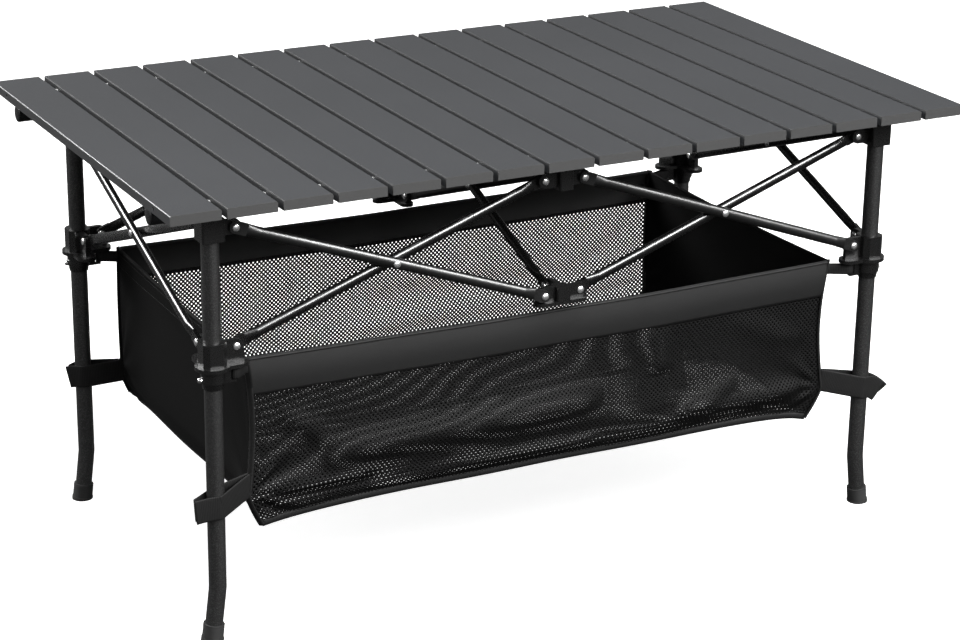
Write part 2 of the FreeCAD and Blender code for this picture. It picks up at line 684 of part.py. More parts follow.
def build_basket():
    """An open-topped fabric box, rounded at its upright corners, hung between the sliders."""
    tall = "$basket_top_height - $basket_bottom_height"
    outer_plan = (2 * basket_half_length(), 2 * basket_half_width())
    wall = size("basket_wall")
    blank = box("basket_blank", outer_plan[0], outer_plan[1], tall,
                (-outer_plan[0] / 2, -outer_plan[1] / 2, size("basket_bottom_height")))
    outside = eased_box("basket_outside", "Fillet", "basket_corner_radius", blank)
    hollow_blank = box("basket_hollow_blank", outer_plan[0] - 2 * wall, outer_plan[1] - 2 * wall, tall,
                       (wall - outer_plan[0] / 2, wall - outer_plan[1] / 2,
                        size("basket_bottom_height") + wall))
    hollow = doc.addObject("Part::Fillet", "basket_hollow")
    hollow.Base = hollow_blank
    inner_radius = size("basket_corner_radius") - wall
    hollow.Edges = [(index, inner_radius, inner_radius) for index in upright_edges(hollow_blank)]
    node("basket", cut("basket", outside, [hollow]))


def build_straps():
    """Four webbing straps that tie the basket's lower corners to the legs."""
    straps = []
    low = size("strap_middle_height") - size("strap_height") / 2
    for corner, (side_x, side_y) in CORNERS.items():
        name = "strap_" + corner
        leg = Vector(side_x * leg_x(), side_y * leg_y(), low)
        round_x = side_x * (basket_half_length() - size("basket_corner_radius"))
        round_y = side_y * (basket_half_width() - size("basket_corner_radius"))
        to_basket = Vector(round_x, round_y, low) - leg
        start = size("leg_diameter") / 2 + size("strap_play") + size("strap_thickness") / 2
        stop = to_basket.Length - size("basket_corner_radius") - size("side_gap")
        turn = Rotation(X_AXIS, to_basket)
        corner_at = turn.multVec(Vector(start, -size("strap_thickness") / 2, 0))
        loop = cylinder(name + "_loop", "$leg_diameter / 2 + $strap_play + $strap_thickness",
                        "$strap_height", tuple(leg))
        tongue = box(name + "_tongue", stop - start, "$strap_thickness", "$strap_height",
                     tuple(leg + corner_at), turn)
        hole = cylinder(name + "_hole", "$leg_diameter / 2 + $strap_play", "3 * $strap_height",
                        tuple(leg - Z_AXIS * size("strap_height")))
        straps.append(cut(name, fuse(name + "_solid", [loop, tongue]), [hole]))
    node("basket_straps", group("basket_straps", straps))


# ---------------------------------------------------------------- assembly

def build_all():
    # The struts of the scissor along X are outside at an upper front or rear corner lug,
    # and inside at a slider's lug.  Across the ends it is the other way round.
    for corner, (side_x, side_y) in CORNERS.items():
        build_leg(corner, side_x, side_y)
        build_foot(corner, side_x, side_y)
        upper_x = side_y if side_x < 0 else -side_y
        inner = -side_x
        upper_y = inner if side_y < 0 else -inner
        build_corner_bracket(corner, side_x, side_y, upper_x, upper_y)
        build_slider(corner, side_x, side_y, -upper_x, -upper_y)
        build_button(corner, side_x, side_y)

    block_low = PIVOT_TOP - size("block_below_pivot")
    web_low = PIVOT_LOW - size("lug_radius")
    for row, side_y in (("front", -1), ("rear", 1)):
        across = 1 if side_y < 0 else -1
        build_centre_bracket("centre_bracket_top_" + row, side_y, PIVOT_TOP, block_low, BRACKET_TOP,
                             False, (-side_y, side_y, across))
        build_centre_bracket("centre_bracket_low_" + row, side_y, PIVOT_LOW, web_low,
                             PIVOT_LOW + size("lug_radius"), True, (side_y, -side_y, -across))
        x = leg_x() - size("pivot_reach")
        y = side_y * leg_y()
        out = side_y * STRUT_OFFSET
        build_scissor("strut_%s_left_a" % row, "strut_%s_left_b" % row, (-x, y, PIVOT_TOP), "x", out)
        build_scissor("strut_%s_right_a" % row, "strut_%s_right_b" % row,
                      (size("centre_reach"), y, PIVOT_TOP), "x", out)

    y = -leg_y() + size("pivot_reach")
    for place, x, offset in (("left", -leg_x(), STRUT_OFFSET), ("centre", 0.0, STRUT_OFFSET),
                             ("right", leg_x(), -STRUT_OFFSET)):
        build_scissor("strut_%s_end_a" % place if place != "centre" else "strut_centre_a",
                      "strut_%s_end_b" % place if place != "centre" else "strut_centre_b",
                      (x, y, PIVOT_TOP), "y", offset)

    build_rail("rail_front", -1)
    build_rail("rail_rear", 1)
    for number in range(1, SLAT_COUNT + 1):
        build_slat(number)
    build_cord("elastic_cord_front", -1)
    build_cord("elastic_cord_rear", 1)
    build_basket()
    build_straps()


def check_and_write():
    """Refuse a failed object or a bad shape, then write one file per node."""
    doc.recompute()
    for thing in doc.Objects:
        if "Invalid" in thing.State or "Error" in thing.State:
            raise RuntimeError("%s failed: %s" % (thing.Name, thing.State))
    for name, thing in nodes:
        if thing.Shape.isNull() or not thing.Shape.isValid() or not thing.Shape.Solids:
            raise RuntimeError("%s has no valid solid" % name)
    os.makedirs("parts", exist_ok=True)
    for name, thing in nodes:
        thing.Shape.exportStep("parts/%s.step" % name)
    whole = FreeCAD.BoundBox()
    for name, thing in nodes:
        whole.add(thing.Shape.BoundBox)
        print("%-28s %2d solids %10.1f mm3" % (name, len(thing.Shape.Solids), thing.Shape.Volume))
    print("%d nodes, box %s" % (len(nodes), whole))


build_all()
check_and_write()
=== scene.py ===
# %% [markdown]
# # A folding camp kitchen table
#
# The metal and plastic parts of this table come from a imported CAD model: sixteen slats on two rails,
# four legs, sliding brackets and a net of crossed struts.  They keep their shape here and only get
# better finishes.  The cloth is made in this file: the hanging basket, its straps and tabs, and so
# are the small things that a maker adds last, such as rivet heads, cord and stitches.

import json
from math import cos, pi, radians, sin

import bmesh
import bpy
import numpy as np
from mathutils import Matrix, Vector


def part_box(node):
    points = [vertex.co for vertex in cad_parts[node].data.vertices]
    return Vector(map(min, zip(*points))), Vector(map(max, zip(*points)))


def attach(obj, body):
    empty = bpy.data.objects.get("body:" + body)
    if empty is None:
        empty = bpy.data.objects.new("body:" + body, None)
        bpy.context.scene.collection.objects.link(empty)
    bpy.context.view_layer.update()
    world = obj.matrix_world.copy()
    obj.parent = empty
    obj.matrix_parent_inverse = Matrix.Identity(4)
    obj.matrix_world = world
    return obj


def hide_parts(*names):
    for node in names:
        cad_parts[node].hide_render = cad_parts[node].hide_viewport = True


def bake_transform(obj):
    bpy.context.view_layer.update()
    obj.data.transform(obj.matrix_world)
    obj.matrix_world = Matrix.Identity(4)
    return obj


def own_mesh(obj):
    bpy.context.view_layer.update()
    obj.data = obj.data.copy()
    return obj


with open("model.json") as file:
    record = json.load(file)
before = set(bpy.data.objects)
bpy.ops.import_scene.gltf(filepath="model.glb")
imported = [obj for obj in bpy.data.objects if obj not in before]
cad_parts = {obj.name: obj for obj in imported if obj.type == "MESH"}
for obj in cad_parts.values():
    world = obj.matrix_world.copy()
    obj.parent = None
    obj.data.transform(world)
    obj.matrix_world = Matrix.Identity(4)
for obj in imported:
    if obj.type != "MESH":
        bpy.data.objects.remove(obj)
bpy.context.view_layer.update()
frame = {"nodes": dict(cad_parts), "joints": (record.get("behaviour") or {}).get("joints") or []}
joints = {joint["name"]: joint for joint in frame["joints"]}

# %% [markdown]
# Every size below starts from the frame.  The pivots of the linkage give the legs, the lugs and the
# rivets, and the boxes of a few nodes give the slats and the basket, so a table with other sizes
# would still get its cloth and its rivets in the right places.

# %% Driving sizes, in metres
MM = 0.001


def pivot(name):
    """The point on a joint's axis."""
    return np.array(joints[name]["pos_m"])


def box(node):
    """Lowest and highest corner of a CAD node as arrays."""
    low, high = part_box(node)
    return np.array(low), np.array(high)


LEG_X = -pivot("left_end_pivot")[0]
LEG_Y = -pivot("frame_fold")[1]
PIVOT_TOP = pivot("frame_fold")[2]
PIVOT_LOW = pivot("slider_front_left_pivot")[2]
LUG_REACH = LEG_X + pivot("frame_fold")[0]
CENTRE_REACH = abs(pivot("centre_top_front_pivot")[0])
CORNERS = {"front_left": (-1, -1), "front_right": (1, -1), "rear_left": (-1, 1), "rear_right": (1, 1)}
print("legs at +-%.0f, +-%.0f mm; pivots at %.0f and %.0f mm"
      % (LEG_X / MM, LEG_Y / MM, PIVOT_TOP / MM, PIVOT_LOW / MM))

# %% [markdown]
# ## Camera and light
#
# A product picture of a long table is taken from a few metres away with a long lens, a little above
# the top, so that its lines stay nearly parallel.  The camera is placed by the numbers that a
# photographer would note down: where the tripod stands, which way the camera points and its lens.

# %% Camera
CAMERA_PLACE = (-1.34327, -2.5744, 1.29532)
CAMERA_YAW = -27.71
CAMERA_PITCH = 20.19
CAMERA_ROLL = -0.77
CAMERA_LENS = 99.64


def aim(yaw, pitch, roll):
    """The turn of a camera that looks along +Y at yaw 0, down by pitch, then rolls by roll."""
    return (Matrix.Rotation(radians(yaw), 4, "Z") @ Matrix.Rotation(radians(90 - pitch), 4, "X")
            @ Matrix.Rotation(radians(roll), 4, "Z"))


camera_data = bpy.data.cameras.new("camera")
camera_data.lens = CAMERA_LENS
camera = bpy.data.objects.new("camera", camera_data)
camera.matrix_world = Matrix.Translation(CAMERA_PLACE) @ aim(CAMERA_YAW, CAMERA_PITCH, -CAMERA_ROLL)
bpy.context.scene.collection.objects.link(camera)
bpy.context.scene.camera = camera
print("camera %.2f m from the table" % Vector(CAMERA_PLACE).length)

# %% [markdown]
# Black gloss shows nothing but its surroundings, so the lamps matter more here than the black does.
# The room is dim at the sides and brighter overhead, which keeps the edges of round tubes dark.  One
# broad box high in front is the key.  The highlight boxes draw the thin bright line along each strut,
# because a tube mirrors a long lamp as a long line; only glossy rays see them, so they can be strong
# and still leave the cloth dark.  The floor glows faintly, as an overexposed studio sweep does.

# %% Room and lamps
scene = bpy.context.scene
scene.view_settings.view_transform = "Standard"


def studio_room(below, level, above):
    """A world whose brightness climbs from straight down, through the horizon, to overhead."""
    world = bpy.data.worlds.new("room")
    world.use_nodes = True
    tree = world.node_tree
    direction = tree.nodes.new("ShaderNodeTexCoord")
    height = tree.nodes.new("ShaderNodeSeparateXYZ")
    share = tree.nodes.new("ShaderNodeMapRange")
    share.inputs["From Min"].default_value = -1.0
    climb = tree.nodes.new("ShaderNodeValToRGB")
    climb.color_ramp.elements.new(0.5)
    for stop, brightness in zip(climb.color_ramp.elements, (below, level, above)):
        stop.color = (brightness, brightness, brightness, 1.0)
    tree.links.new(direction.outputs["Generated"], height.inputs[0])
    tree.links.new(height.outputs["Z"], share.inputs["Value"])
    tree.links.new(share.outputs["Result"], climb.inputs["Fac"])
    tree.links.new(climb.outputs["Color"], tree.nodes["Background"].inputs["Color"])
    return world


def soft_box(name, place, target, width, height, watts, highlight=False):
    """A rectangular lamp at place, facing target; a highlight box is seen by glossy rays only."""
    lamp = bpy.data.lights.new(name, "AREA")
    lamp.shape = "RECTANGLE"
    lamp.size = width
    lamp.size_y = height
    lamp.energy = watts
    holder = bpy.data.objects.new(name, lamp)
    holder.location = place
    holder.rotation_mode = "QUATERNION"
    holder.rotation_quaternion = (Vector(target) - Vector(place)).to_track_quat("-Z", "Y")
    holder.visible_diffuse = not highlight
    holder.visible_camera = False
    scene.collection.objects.link(holder)
    return holder


scene.world = studio_room(0.04, 0.20, 0.52)
soft_box("overhead_box", (0.0, -0.95, 2.7), (0, 0, 0.3), 2.4, 0.8, 92)
soft_box("key_box", (-0.6, -2.5, 2.4), (0, 0, 0.3), 1.6, 0.9, 30)
soft_box("left_fill", (-2.8, -0.6, 1.4), (0, 0, 0.3), 1.2, 1.0, 11)
soft_box("highlight_front", (1.2, -2.5, 1.9), (0, 0, 0.35), 3.0, 0.9, 620, highlight=True)
soft_box("highlight_left", (-2.0, 1.7, 1.8), (0, 0, 0.35), 1.9, 0.9, 300, highlight=True)
print("a graded room, three lamps and two highlight boxes")

# %% [markdown]
# ## Writing materials as sums
#
# A material is easier to read as arithmetic than as a picture of boxes and wires.  `Value` wraps one
# output of a node, and its + - * / add the Math nodes.  `Recipe` is one material; its `node` method
# makes any other node, and a few short methods name the patterns that are used again and again.

# %% Value and Recipe
class Value:
    """A number at each point of a surface, with arithmetic that adds Math nodes."""

    def __init__(self, recipe, socket):
        self.recipe = recipe
        self.socket = socket

    def math(self, operation, *others):
        sockets = dict(enumerate((self,) + others))
        made = self.recipe.node("ShaderNodeMath", {"operation": operation}, sockets)
        return Value(self.recipe, made.outputs[0])

    def __add__(self, other):
        return self.math("ADD", other)

    def __sub__(self, other):
        return self.math("SUBTRACT", other)

    def __rsub__(self, other):
        return (self * -1) + other

    def __mul__(self, other):
        return self.math("MULTIPLY", other)

    def __truediv__(self, other):
        return self.math("DIVIDE", other)

    __radd__ = __add__
    __rmul__ = __mul__

    def size(self):
        return self.math("ABSOLUTE")

    def least(self, other):
        return self.math("MINIMUM", other)

    def most(self, other):
        return self.math("MAXIMUM", other)

    def power(self, exponent):
        return self.math("POWER", exponent)

    def wave(self):
        return self.math("SINE")

    def share(self):
        """The part after the decimal point, less a half: -0.5 to 0.5 in each cell."""
        return self.math("FRACT") - 0.5

    def ramp(self, low, high):
        """0 below low, 1 above high, and a smooth climb between them; low may be the larger."""
        sockets = {"Value": self, "From Min": low, "From Max": high}
        made = self.recipe.node("ShaderNodeMapRange", {"interpolation_type": "SMOOTHSTEP"}, sockets)
        return Value(self.recipe, made.outputs["Result"])


class Recipe:
    """One material: constants go on the shader, and what varies is fed to it."""

    def __init__(self, name, **constants):
        self.material = bpy.data.materials.new(name)
        self.material.use_nodes = True
        self.tree = self.material.node_tree
        self.shader = self.tree.nodes["Principled BSDF"]
        self.set(**constants)

    def set(self, **values):
        """Sets or feeds the shader's sockets: Base_Color stands for Base Color."""
        for name, value in values.items():
            self.feed(self.shader.inputs[name.replace("_", " ")], value)

    def feed(self, socket, value):
        if isinstance(value, Value):
            self.tree.links.new(value.socket, socket)
        elif isinstance(value, bpy.types.NodeSocket):
            self.tree.links.new(value, socket)
        elif isinstance(value, tuple) and len(value) == 3 and socket.type == "RGBA":
            socket.default_value = value + (1.0,)
        else:
            socket.default_value = value

    def node(self, kind, settings=None, sockets=None):
        made = self.tree.nodes.new(kind)
        for name, value in (settings or {}).items():
            setattr(made, name, value)
        for key, value in (sockets or {}).items():
            self.feed(made.inputs[key], value)
        return made

    def place(self):
        """Where a point is, in metres in the object's own frame."""
        return self.node("ShaderNodeTexCoord").outputs["Object"]

    def cloth(self):
        """Where a point is on its cloth, in metres along and across the weave."""
        return self.node("ShaderNodeUVMap", {"uv_map": "cloth"}).outputs["UV"]

    def facing(self):
        """The way that the surface faces."""
        return self.node("ShaderNodeNewGeometry").outputs["Normal"]

    def parts(self, vector):
        made = self.node("ShaderNodeSeparateXYZ", None, {"Vector": vector})
        return [Value(self, socket) for socket in made.outputs]

    def noise(self, vector, scale, detail=2.0, roughness=0.5):
        sockets = {"Vector": vector, "Scale": scale, "Detail": detail, "Roughness": roughness}
        return Value(self, self.node("ShaderNodeTexNoise", None, sockets).outputs["Fac"])

    def cells(self, vector, scale):
        """Distance to the nearest of many scattered points."""
        sockets = {"Vector": vector, "Scale": scale}
        return Value(self, self.node("ShaderNodeTexVoronoi", None, sockets).outputs["Distance"])

    def stretched(self, vector, factors):
        made = self.node("ShaderNodeVectorMath", {"operation": "MULTIPLY"}, {0: vector, 1: factors})
        return made.outputs[0]

    def mix(self, first, second, share):
        """A colour between two others."""
        made = self.node("ShaderNodeMix", {"data_type": "RGBA"}, {"Factor": share})
        colours = [socket for socket in made.inputs if socket.type == "RGBA"]
        self.feed(colours[0], first)
        self.feed(colours[1], second)
        return next(socket for socket in made.outputs if socket.type == "RGBA")

    def relief(self, height, depth):
        """Feeds a bump whose full height is depth metres."""
        sockets = {"Height": height, "Distance": depth}
        self.set(Normal=self.node("ShaderNodeBump", None, sockets).outputs["Normal"])


def grey(level):
    """A neutral colour."""
    return (level, level, level)


print("Value and Recipe are ready")

# %% [markdown]
# ### The powder coat of the slats
#
# Powder paint is baked dust.  It levels into a satin skin with a fine orange peel and a few metallic
# flecks.  Its open edges get a painted highlight: a lighter grey, broken by noise, where they catch
# the lamps.  An edge is found from the way it faces: a fillet faces partly up and partly sideways,
# and up times (1 - up) is largest there.  Only the open edges of the top get this painted highlight;
# inside the gaps between slats the fillets are painted near black as shade instead, and made rougher.
# The last two millimetres of each slat are a plastic cap, duller than the paint.

# %% Slat finish
CAP_LINE = -box("slat_01")[0][1] - 2.0 * MM
TOP_END = -box("slat_01")[0][0]


def slat_finish():
    made = Recipe("top_powder_coat", Specular_IOR_Level=0.40)
    place = made.place()
    across = made.parts(place)[1]
    along_x, along_y, upward = made.parts(made.facing())
    up = upward.most(0.0)
    fillet = (up * (1 - up) * 4).ramp(0.15, 0.9)
    outermost = made.parts(place)[0].size().ramp(TOP_END - 3 * MM, TOP_END - 2 * MM)
    # edge: where the painted highlight goes, on the open edges that face front or back and the outermost
    # ends
    edge = fillet * (along_y.size().ramp(0.2, 0.5)).most(outermost)
    # gap: the fillets inside the gaps between slats, where painted shade goes
    gap = fillet * along_x.size().ramp(0.2, 0.5) * (1 - outermost)
    peel = made.noise(place, 900.0, 2.0)
    fleck = made.noise(place, 2400.0, 1.0).ramp(0.60, 0.72)
    cloud = made.noise(place, 5.0, 3.0)
    # noise that breaks the painted highlight into short streaks
    highlight_breaks = made.noise(place, 420.0, 3.0, 0.7).ramp(0.38, 0.62)
    cap = across.size().ramp(CAP_LINE - 0.1 * MM, CAP_LINE + 0.1 * MM)
    paint = made.mix((0.022, 0.024, 0.027), (0.034, 0.036, 0.040), cloud)
    paint = made.mix(paint, grey(0.16), fleck * 0.45)
    # painted highlight: a lighter grey along the open edges, broken up by noise
    paint = made.mix(paint, grey(0.34), edge * highlight_breaks * 0.75 * (1 - cap))
    plastic = made.mix(grey(0.020), grey(0.034), peel)
    # painted shade: the fillets inside the gaps between slats are painted near black
    paint = made.mix(paint, grey(0.004), gap)
    made.set(Base_Color=made.mix(paint, plastic, cap))
    made.set(Roughness=0.40 + peel * 0.08 + cap * 0.10 - fleck * 0.08 + gap * 0.45)
    made.relief(peel, 0.05 * MM)
    return made.material


TOP_COAT = slat_finish()
print("slat finish:", len(TOP_COAT.node_tree.nodes), "nodes")

# %% [markdown]
# ### The hammered coat of the legs, and the gloss of the struts
#
# The legs have a structured powder coat: it pulls itself into small beads as it bakes, which reads as
# grey speckle on black.  Voronoi cells a millimetre wide make the beads.  The struts are smoother and
# wetter, with only a faint trace of the same beads, and the inner strut of each pair is more satin.

# %% Tube finishes
def hammered(name, dark, light, bead, depth, roughness):
    """Beaded paint; bead is the size of one bead and depth its height."""
    made = Recipe(name, Specular_IOR_Level=0.40)
    place = made.place()
    wander = made.noise(place, 0.4 / bead, 2.0)
    beads = made.cells(place, 1.0 / bead)
    tops = (1 - beads).ramp(0.35, 0.85) * wander.ramp(0.30, 0.62)
    broad = made.noise(place, 14.0, 2.0)
    made.set(Base_Color=made.mix(grey(dark), grey(light), tops * (0.7 + broad * 0.6)))
    made.set(Roughness=roughness + beads * 0.12)
    made.relief(tops, depth)
    return made.material


LEG_COAT = hammered("leg_powder_coat", 0.012, 0.060, 0.9 * MM, 0.07 * MM, 0.36)
STRUT_GLOSS = hammered("strut_gloss", 0.005, 0.016, 1.0 * MM, 0.006 * MM, 0.20)
STRUT_SATIN = hammered("strut_satin", 0.006, 0.024, 1.0 * MM, 0.022 * MM, 0.27)
RAIL_PAINT = hammered("rail_tube", 0.010, 0.030, 1.0 * MM, 0.05 * MM, 0.34)
print("tube finishes: legs, struts and rails")

# %% [markdown]
# ### Moulded plastic, rubber and bright metal
#
# The brackets are moulded nylon: black, half glossy, and very slightly wavy where the plastic shrank.
# The feet are rubber, with the fine rings that a mould leaves.  Rivets and plungers are bright steel,
# with hair scratches that spread their highlights.

# %% Plastic, rubber and steel
def moulded_plastic():
    made = Recipe("bracket_plastic", Specular_IOR_Level=0.45)
    place = made.place()
    wave = made.noise(place, 60.0, 2.0)
    dust = made.noise(place, 1500.0, 2.0)
    made.set(Base_Color=made.mix(grey(0.004), grey(0.011), dust.ramp(0.35, 0.75)))
    made.set(Roughness=0.20 + dust * 0.16)
    made.relief(wave * 0.7 + dust * 0.3, 0.12 * MM)
    return made.material


def boot_rubber():
    made = Recipe("foot_rubber", Specular_IOR_Level=0.3)
    place = made.place()
    height = made.parts(place)[2]
    rings = (height * (2 * pi / (1.5 * MM))).wave() * height.ramp(1 * MM, 4 * MM)
    grime = made.noise(place, 300.0, 3.0)
    made.set(Base_Color=made.mix(grey(0.007), grey(0.020), grime))
    made.set(Roughness=0.62 + grime * 0.2)
    made.relief(rings * 0.5 + grime, 0.10 * MM)
    return made.material


def bright_steel(name, colour, roughness):
    made = Recipe(name, Metallic=1.0)
    place = made.place()
    hairs = made.noise(made.stretched(place, (1.0, 1.0, 9.0)), 900.0, 3.0)
    made.set(Base_Color=made.mix(grey(colour * 0.82), grey(colour), hairs))
    made.set(Roughness=roughness + hairs * 0.12)
    return made.material


BRACKET_PLASTIC = moulded_plastic()
FOOT_RUBBER = boot_rubber()
PLUNGER_STEEL = bright_steel("button_steel", 0.72, 0.12)
RIVET_STEEL = bright_steel("rivet_steel", 0.93, 0.20)
print("plastic, rubber and two steels")

# %% [markdown]
# The finishes go onto the CAD nodes through the material slots that they already have.  Their meshes
# are not touched.

# %% Finish the CAD nodes
INNER_STRUTS = [name for name in frame["nodes"] if name.startswith("strut_") and name.endswith("_a")
                and "end" not in name]
FINISHES = {"slat": TOP_COAT, "leg": LEG_COAT, "strut": STRUT_GLOSS, "rail": RAIL_PAINT,
            "foot": FOOT_RUBBER, "button": PLUNGER_STEEL, "corner": BRACKET_PLASTIC,
            "centre": BRACKET_PLASTIC, "slider": BRACKET_PLASTIC}
for name, thing in frame["nodes"].items():
    finish = FINISHES.get(name.split("_")[0])
    if name in INNER_STRUTS:
        finish = STRUT_SATIN
    if finish:
        for holder in thing.material_slots:
            holder.material = finish
print("finished", sum(name.split("_")[0] in FINISHES for name in frame["nodes"]), "CAD nodes")

# %% [markdown]
# ## Surfaces from grids
#
# Every new piece is a grid of points worked out with numpy.  `skin` turns a grid into a mesh, `carry`
# sweeps a closed outline along a path, and `scatter` copies one small shape to many places.

# %% Grids, sweeps and copies
def mesh_piece(name, points, faces, material, coordinates=None):
    """An object from an array of points and a list or array of faces; coordinates is one UV a point."""
    mesh = bpy.data.meshes.new(name)
    mesh.from_pydata(np.asarray(points, float).reshape(-1, 3), [], [list(map(int, f)) for f in faces])
    if coordinates is not None:
        layer = mesh.uv_layers.new(name="cloth")
        corners = np.empty(len(mesh.loops), dtype=int)
        mesh.loops.foreach_get("vertex_index", corners)
        layer.data.foreach_set("uv", np.asarray(coordinates, float).reshape(-1, 2)[corners].ravel())
    mesh.polygons.foreach_set("use_smooth", np.ones(len(mesh.polygons), dtype=bool))
    mesh.materials.append(material)
    mesh.update()
    thing = bpy.data.objects.new(name, mesh)
    scene.collection.objects.link(thing)
    return thing


def grid_faces(rows, columns, around=False):
    """Four-sided faces between neighbours of a grid; around joins the last column to the first."""
    last = columns if around else columns - 1
    row, column = np.meshgrid(np.arange(rows - 1), np.arange(last), indexing="ij")
    following = (column + 1) % columns
    corners = (row * columns + column, row * columns + following,
               (row + 1) * columns + following, (row + 1) * columns + column)
    return np.stack(corners, axis=-1).reshape(-1, 4)


def tube_faces(rows, count):
    """Faces of a closed tube: rows rings of count points, and a face over each end."""
    faces = [list(face) for face in grid_faces(rows, count, around=True)]
    first = list(range(count))
    return faces + [first[::-1], [(rows - 1) * count + index for index in first]]


def ring(count):
    """Points round a circle of radius 1."""
    angle = np.arange(count) * 2 * pi / count
    return np.stack([np.cos(angle), np.sin(angle)], axis=1)


def oval(wide, tall, count=12):
    """The outline of an ellipse, wide across and tall upward."""
    return ring(count) * [wide / 2, tall / 2]


def skin(name, points, material, coordinates, thickness):
    """A cloth from a grid of points (rows, columns, 3), as thick as it should be."""
    rows, columns = points.shape[:2]
    thing = mesh_piece(name, points, grid_faces(rows, columns), material, coordinates)
    wall = thing.modifiers.new("thickness", "SOLIDIFY")
    wall.thickness = thickness
    wall.offset = 0.0
    return thing


def along(path):
    """Running length of a path, from 0 at its first point."""
    steps = np.linalg.norm(np.diff(path, axis=0), axis=1)
    return np.concatenate(([0.0], np.cumsum(steps)))


def at_lengths(path, stops):
    """The points of a path at running lengths."""
    length = along(path)
    return np.stack([np.interp(stops, length, axis) for axis in path.T], axis=1)


def carry(path, outline, upward):
    """Points, faces and cloth coordinates of a closed outline (k, 2) carried along a path (n, 3).

    At each point the outline's first number runs sideways, across the path and upward, and its
    second along upward made square to the path.  Both ends are closed.
    """
    forward = np.gradient(path, axis=0)
    forward /= np.linalg.norm(forward, axis=1, keepdims=True)
    sideways = np.cross(forward, upward)
    sideways /= np.linalg.norm(sideways, axis=1, keepdims=True)
    square = np.cross(sideways, forward)
    points = (path[:, None] + sideways[:, None] * outline[None, :, :1]
              + square[:, None] * outline[None, :, 1:])
    round_length = along(np.vstack([outline, outline[:1]]))[:-1]
    coordinates = np.stack(np.broadcast_arrays(along(path)[:, None], round_length[None]), axis=-1)
    return points.reshape(-1, 3), tube_faces(len(path), len(outline)), coordinates.reshape(-1, 2)


def scatter(points, faces, places, turns):
    """Copies of a small shape: places (n, 3) and turns (n, 3, 3)."""
    moved = np.einsum("nij,kj->nki", turns, points) + places[:, None]
    shift = np.arange(len(places)) * len(points)
    every = [[index + offset for index in face] for offset in shift for face in faces]
    return moved.reshape(-1, 3), every


def merged(shapes):
    """One set of points, faces and coordinates out of several."""
    shift, points, faces, coordinates = 0, [], [], []
    for shape_points, shape_faces, shape_coordinates in shapes:
        points.append(shape_points)
        faces += [[index + shift for index in face] for face in shape_faces]
        coordinates.append(shape_coordinates)
        shift += len(shape_points)
    return np.vstack(points), faces, np.vstack(coordinates)


print("grid, sweep and copy helpers are ready")

# %% [markdown]
# ## Rivet heads
#
# Each pivot of the linkage is a steel rivet, pressed until its head is a low dome with a thin rim.
# The dome is a circle's arc turned about the rivet, and all the heads of one body are one mesh, so
# they move with it.  A lug's rivet shows one head on the lug's bare face and one past the strut.

# %% Rivet heads
LUG_HALF = 2.5 * MM
STRUT_TAB = 4.5 * MM
GRIP = LUG_HALF + STRUT_TAB
HEAD_RADIUS = 4.2 * MM
HEAD_RISE = 2.05 * MM
HEAD_SIDES = 20
RIM = 0.35 * MM


def head_shape():
    """A dome: its height falls as the square root of a circle's, down to a short upright rim."""
    share = np.array([0.0, 0.22, 0.45, 0.66, 0.84, 0.95, 1.0, 1.0])
    rise = RIM + (HEAD_RISE - RIM) * np.sqrt(np.clip(1 - share ** 2, 0, 1))
    rise[-1] = 0.0
    points = [(0.0, 0.0, rise[0])]
    for level, radius in zip(rise[1:], share[1:] * HEAD_RADIUS):
        points += [(x * radius, y * radius, level) for x, y in ring(HEAD_SIDES)]
    faces = [[0, 1 + index, 1 + (index + 1) % HEAD_SIDES] for index in range(HEAD_SIDES)]
    tube = tube_faces(len(rise) - 1, HEAD_SIDES)
    faces += [[1 + corner for corner in face[::-1]] for face in tube[:-2] + tube[-1:]]
    return np.array(points), faces


def turn_to(direction):
    """A turn that takes +Z to a direction."""
    return np.array(Vector((0, 0, 1)).rotation_difference(Vector(direction)).to_matrix())


def rivet_heads(body, rivets):
    """The heads of a body's rivets, each given as (middle of the lug, direction, low, high)."""
    places, turns = [], []
    for middle, direction, low, high in rivets:
        direction = np.array(direction, float)
        for distance, facing in ((low, -1), (high, 1)):
            places.append(np.array(middle) + direction * distance)
            turns.append(turn_to(direction * facing))
    points, faces = scatter(*HEAD, np.array(places), np.array(turns))
    thing = mesh_piece("rivets_" + body, points, faces, RIVET_STEEL)
    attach(thing, body)
    return len(places)


def lug_rivet(middle, direction):
    """Through a lug and the strut's end beside it."""
    return middle, direction, -LUG_HALF, GRIP


def cross_rivet(x, y, direction):
    """Through both struts where they cross, halfway up."""
    return (x, y, (PIVOT_TOP + PIVOT_LOW) / 2), direction, -CROSS_HALF, CROSS_HALF + CROSS_PROUD


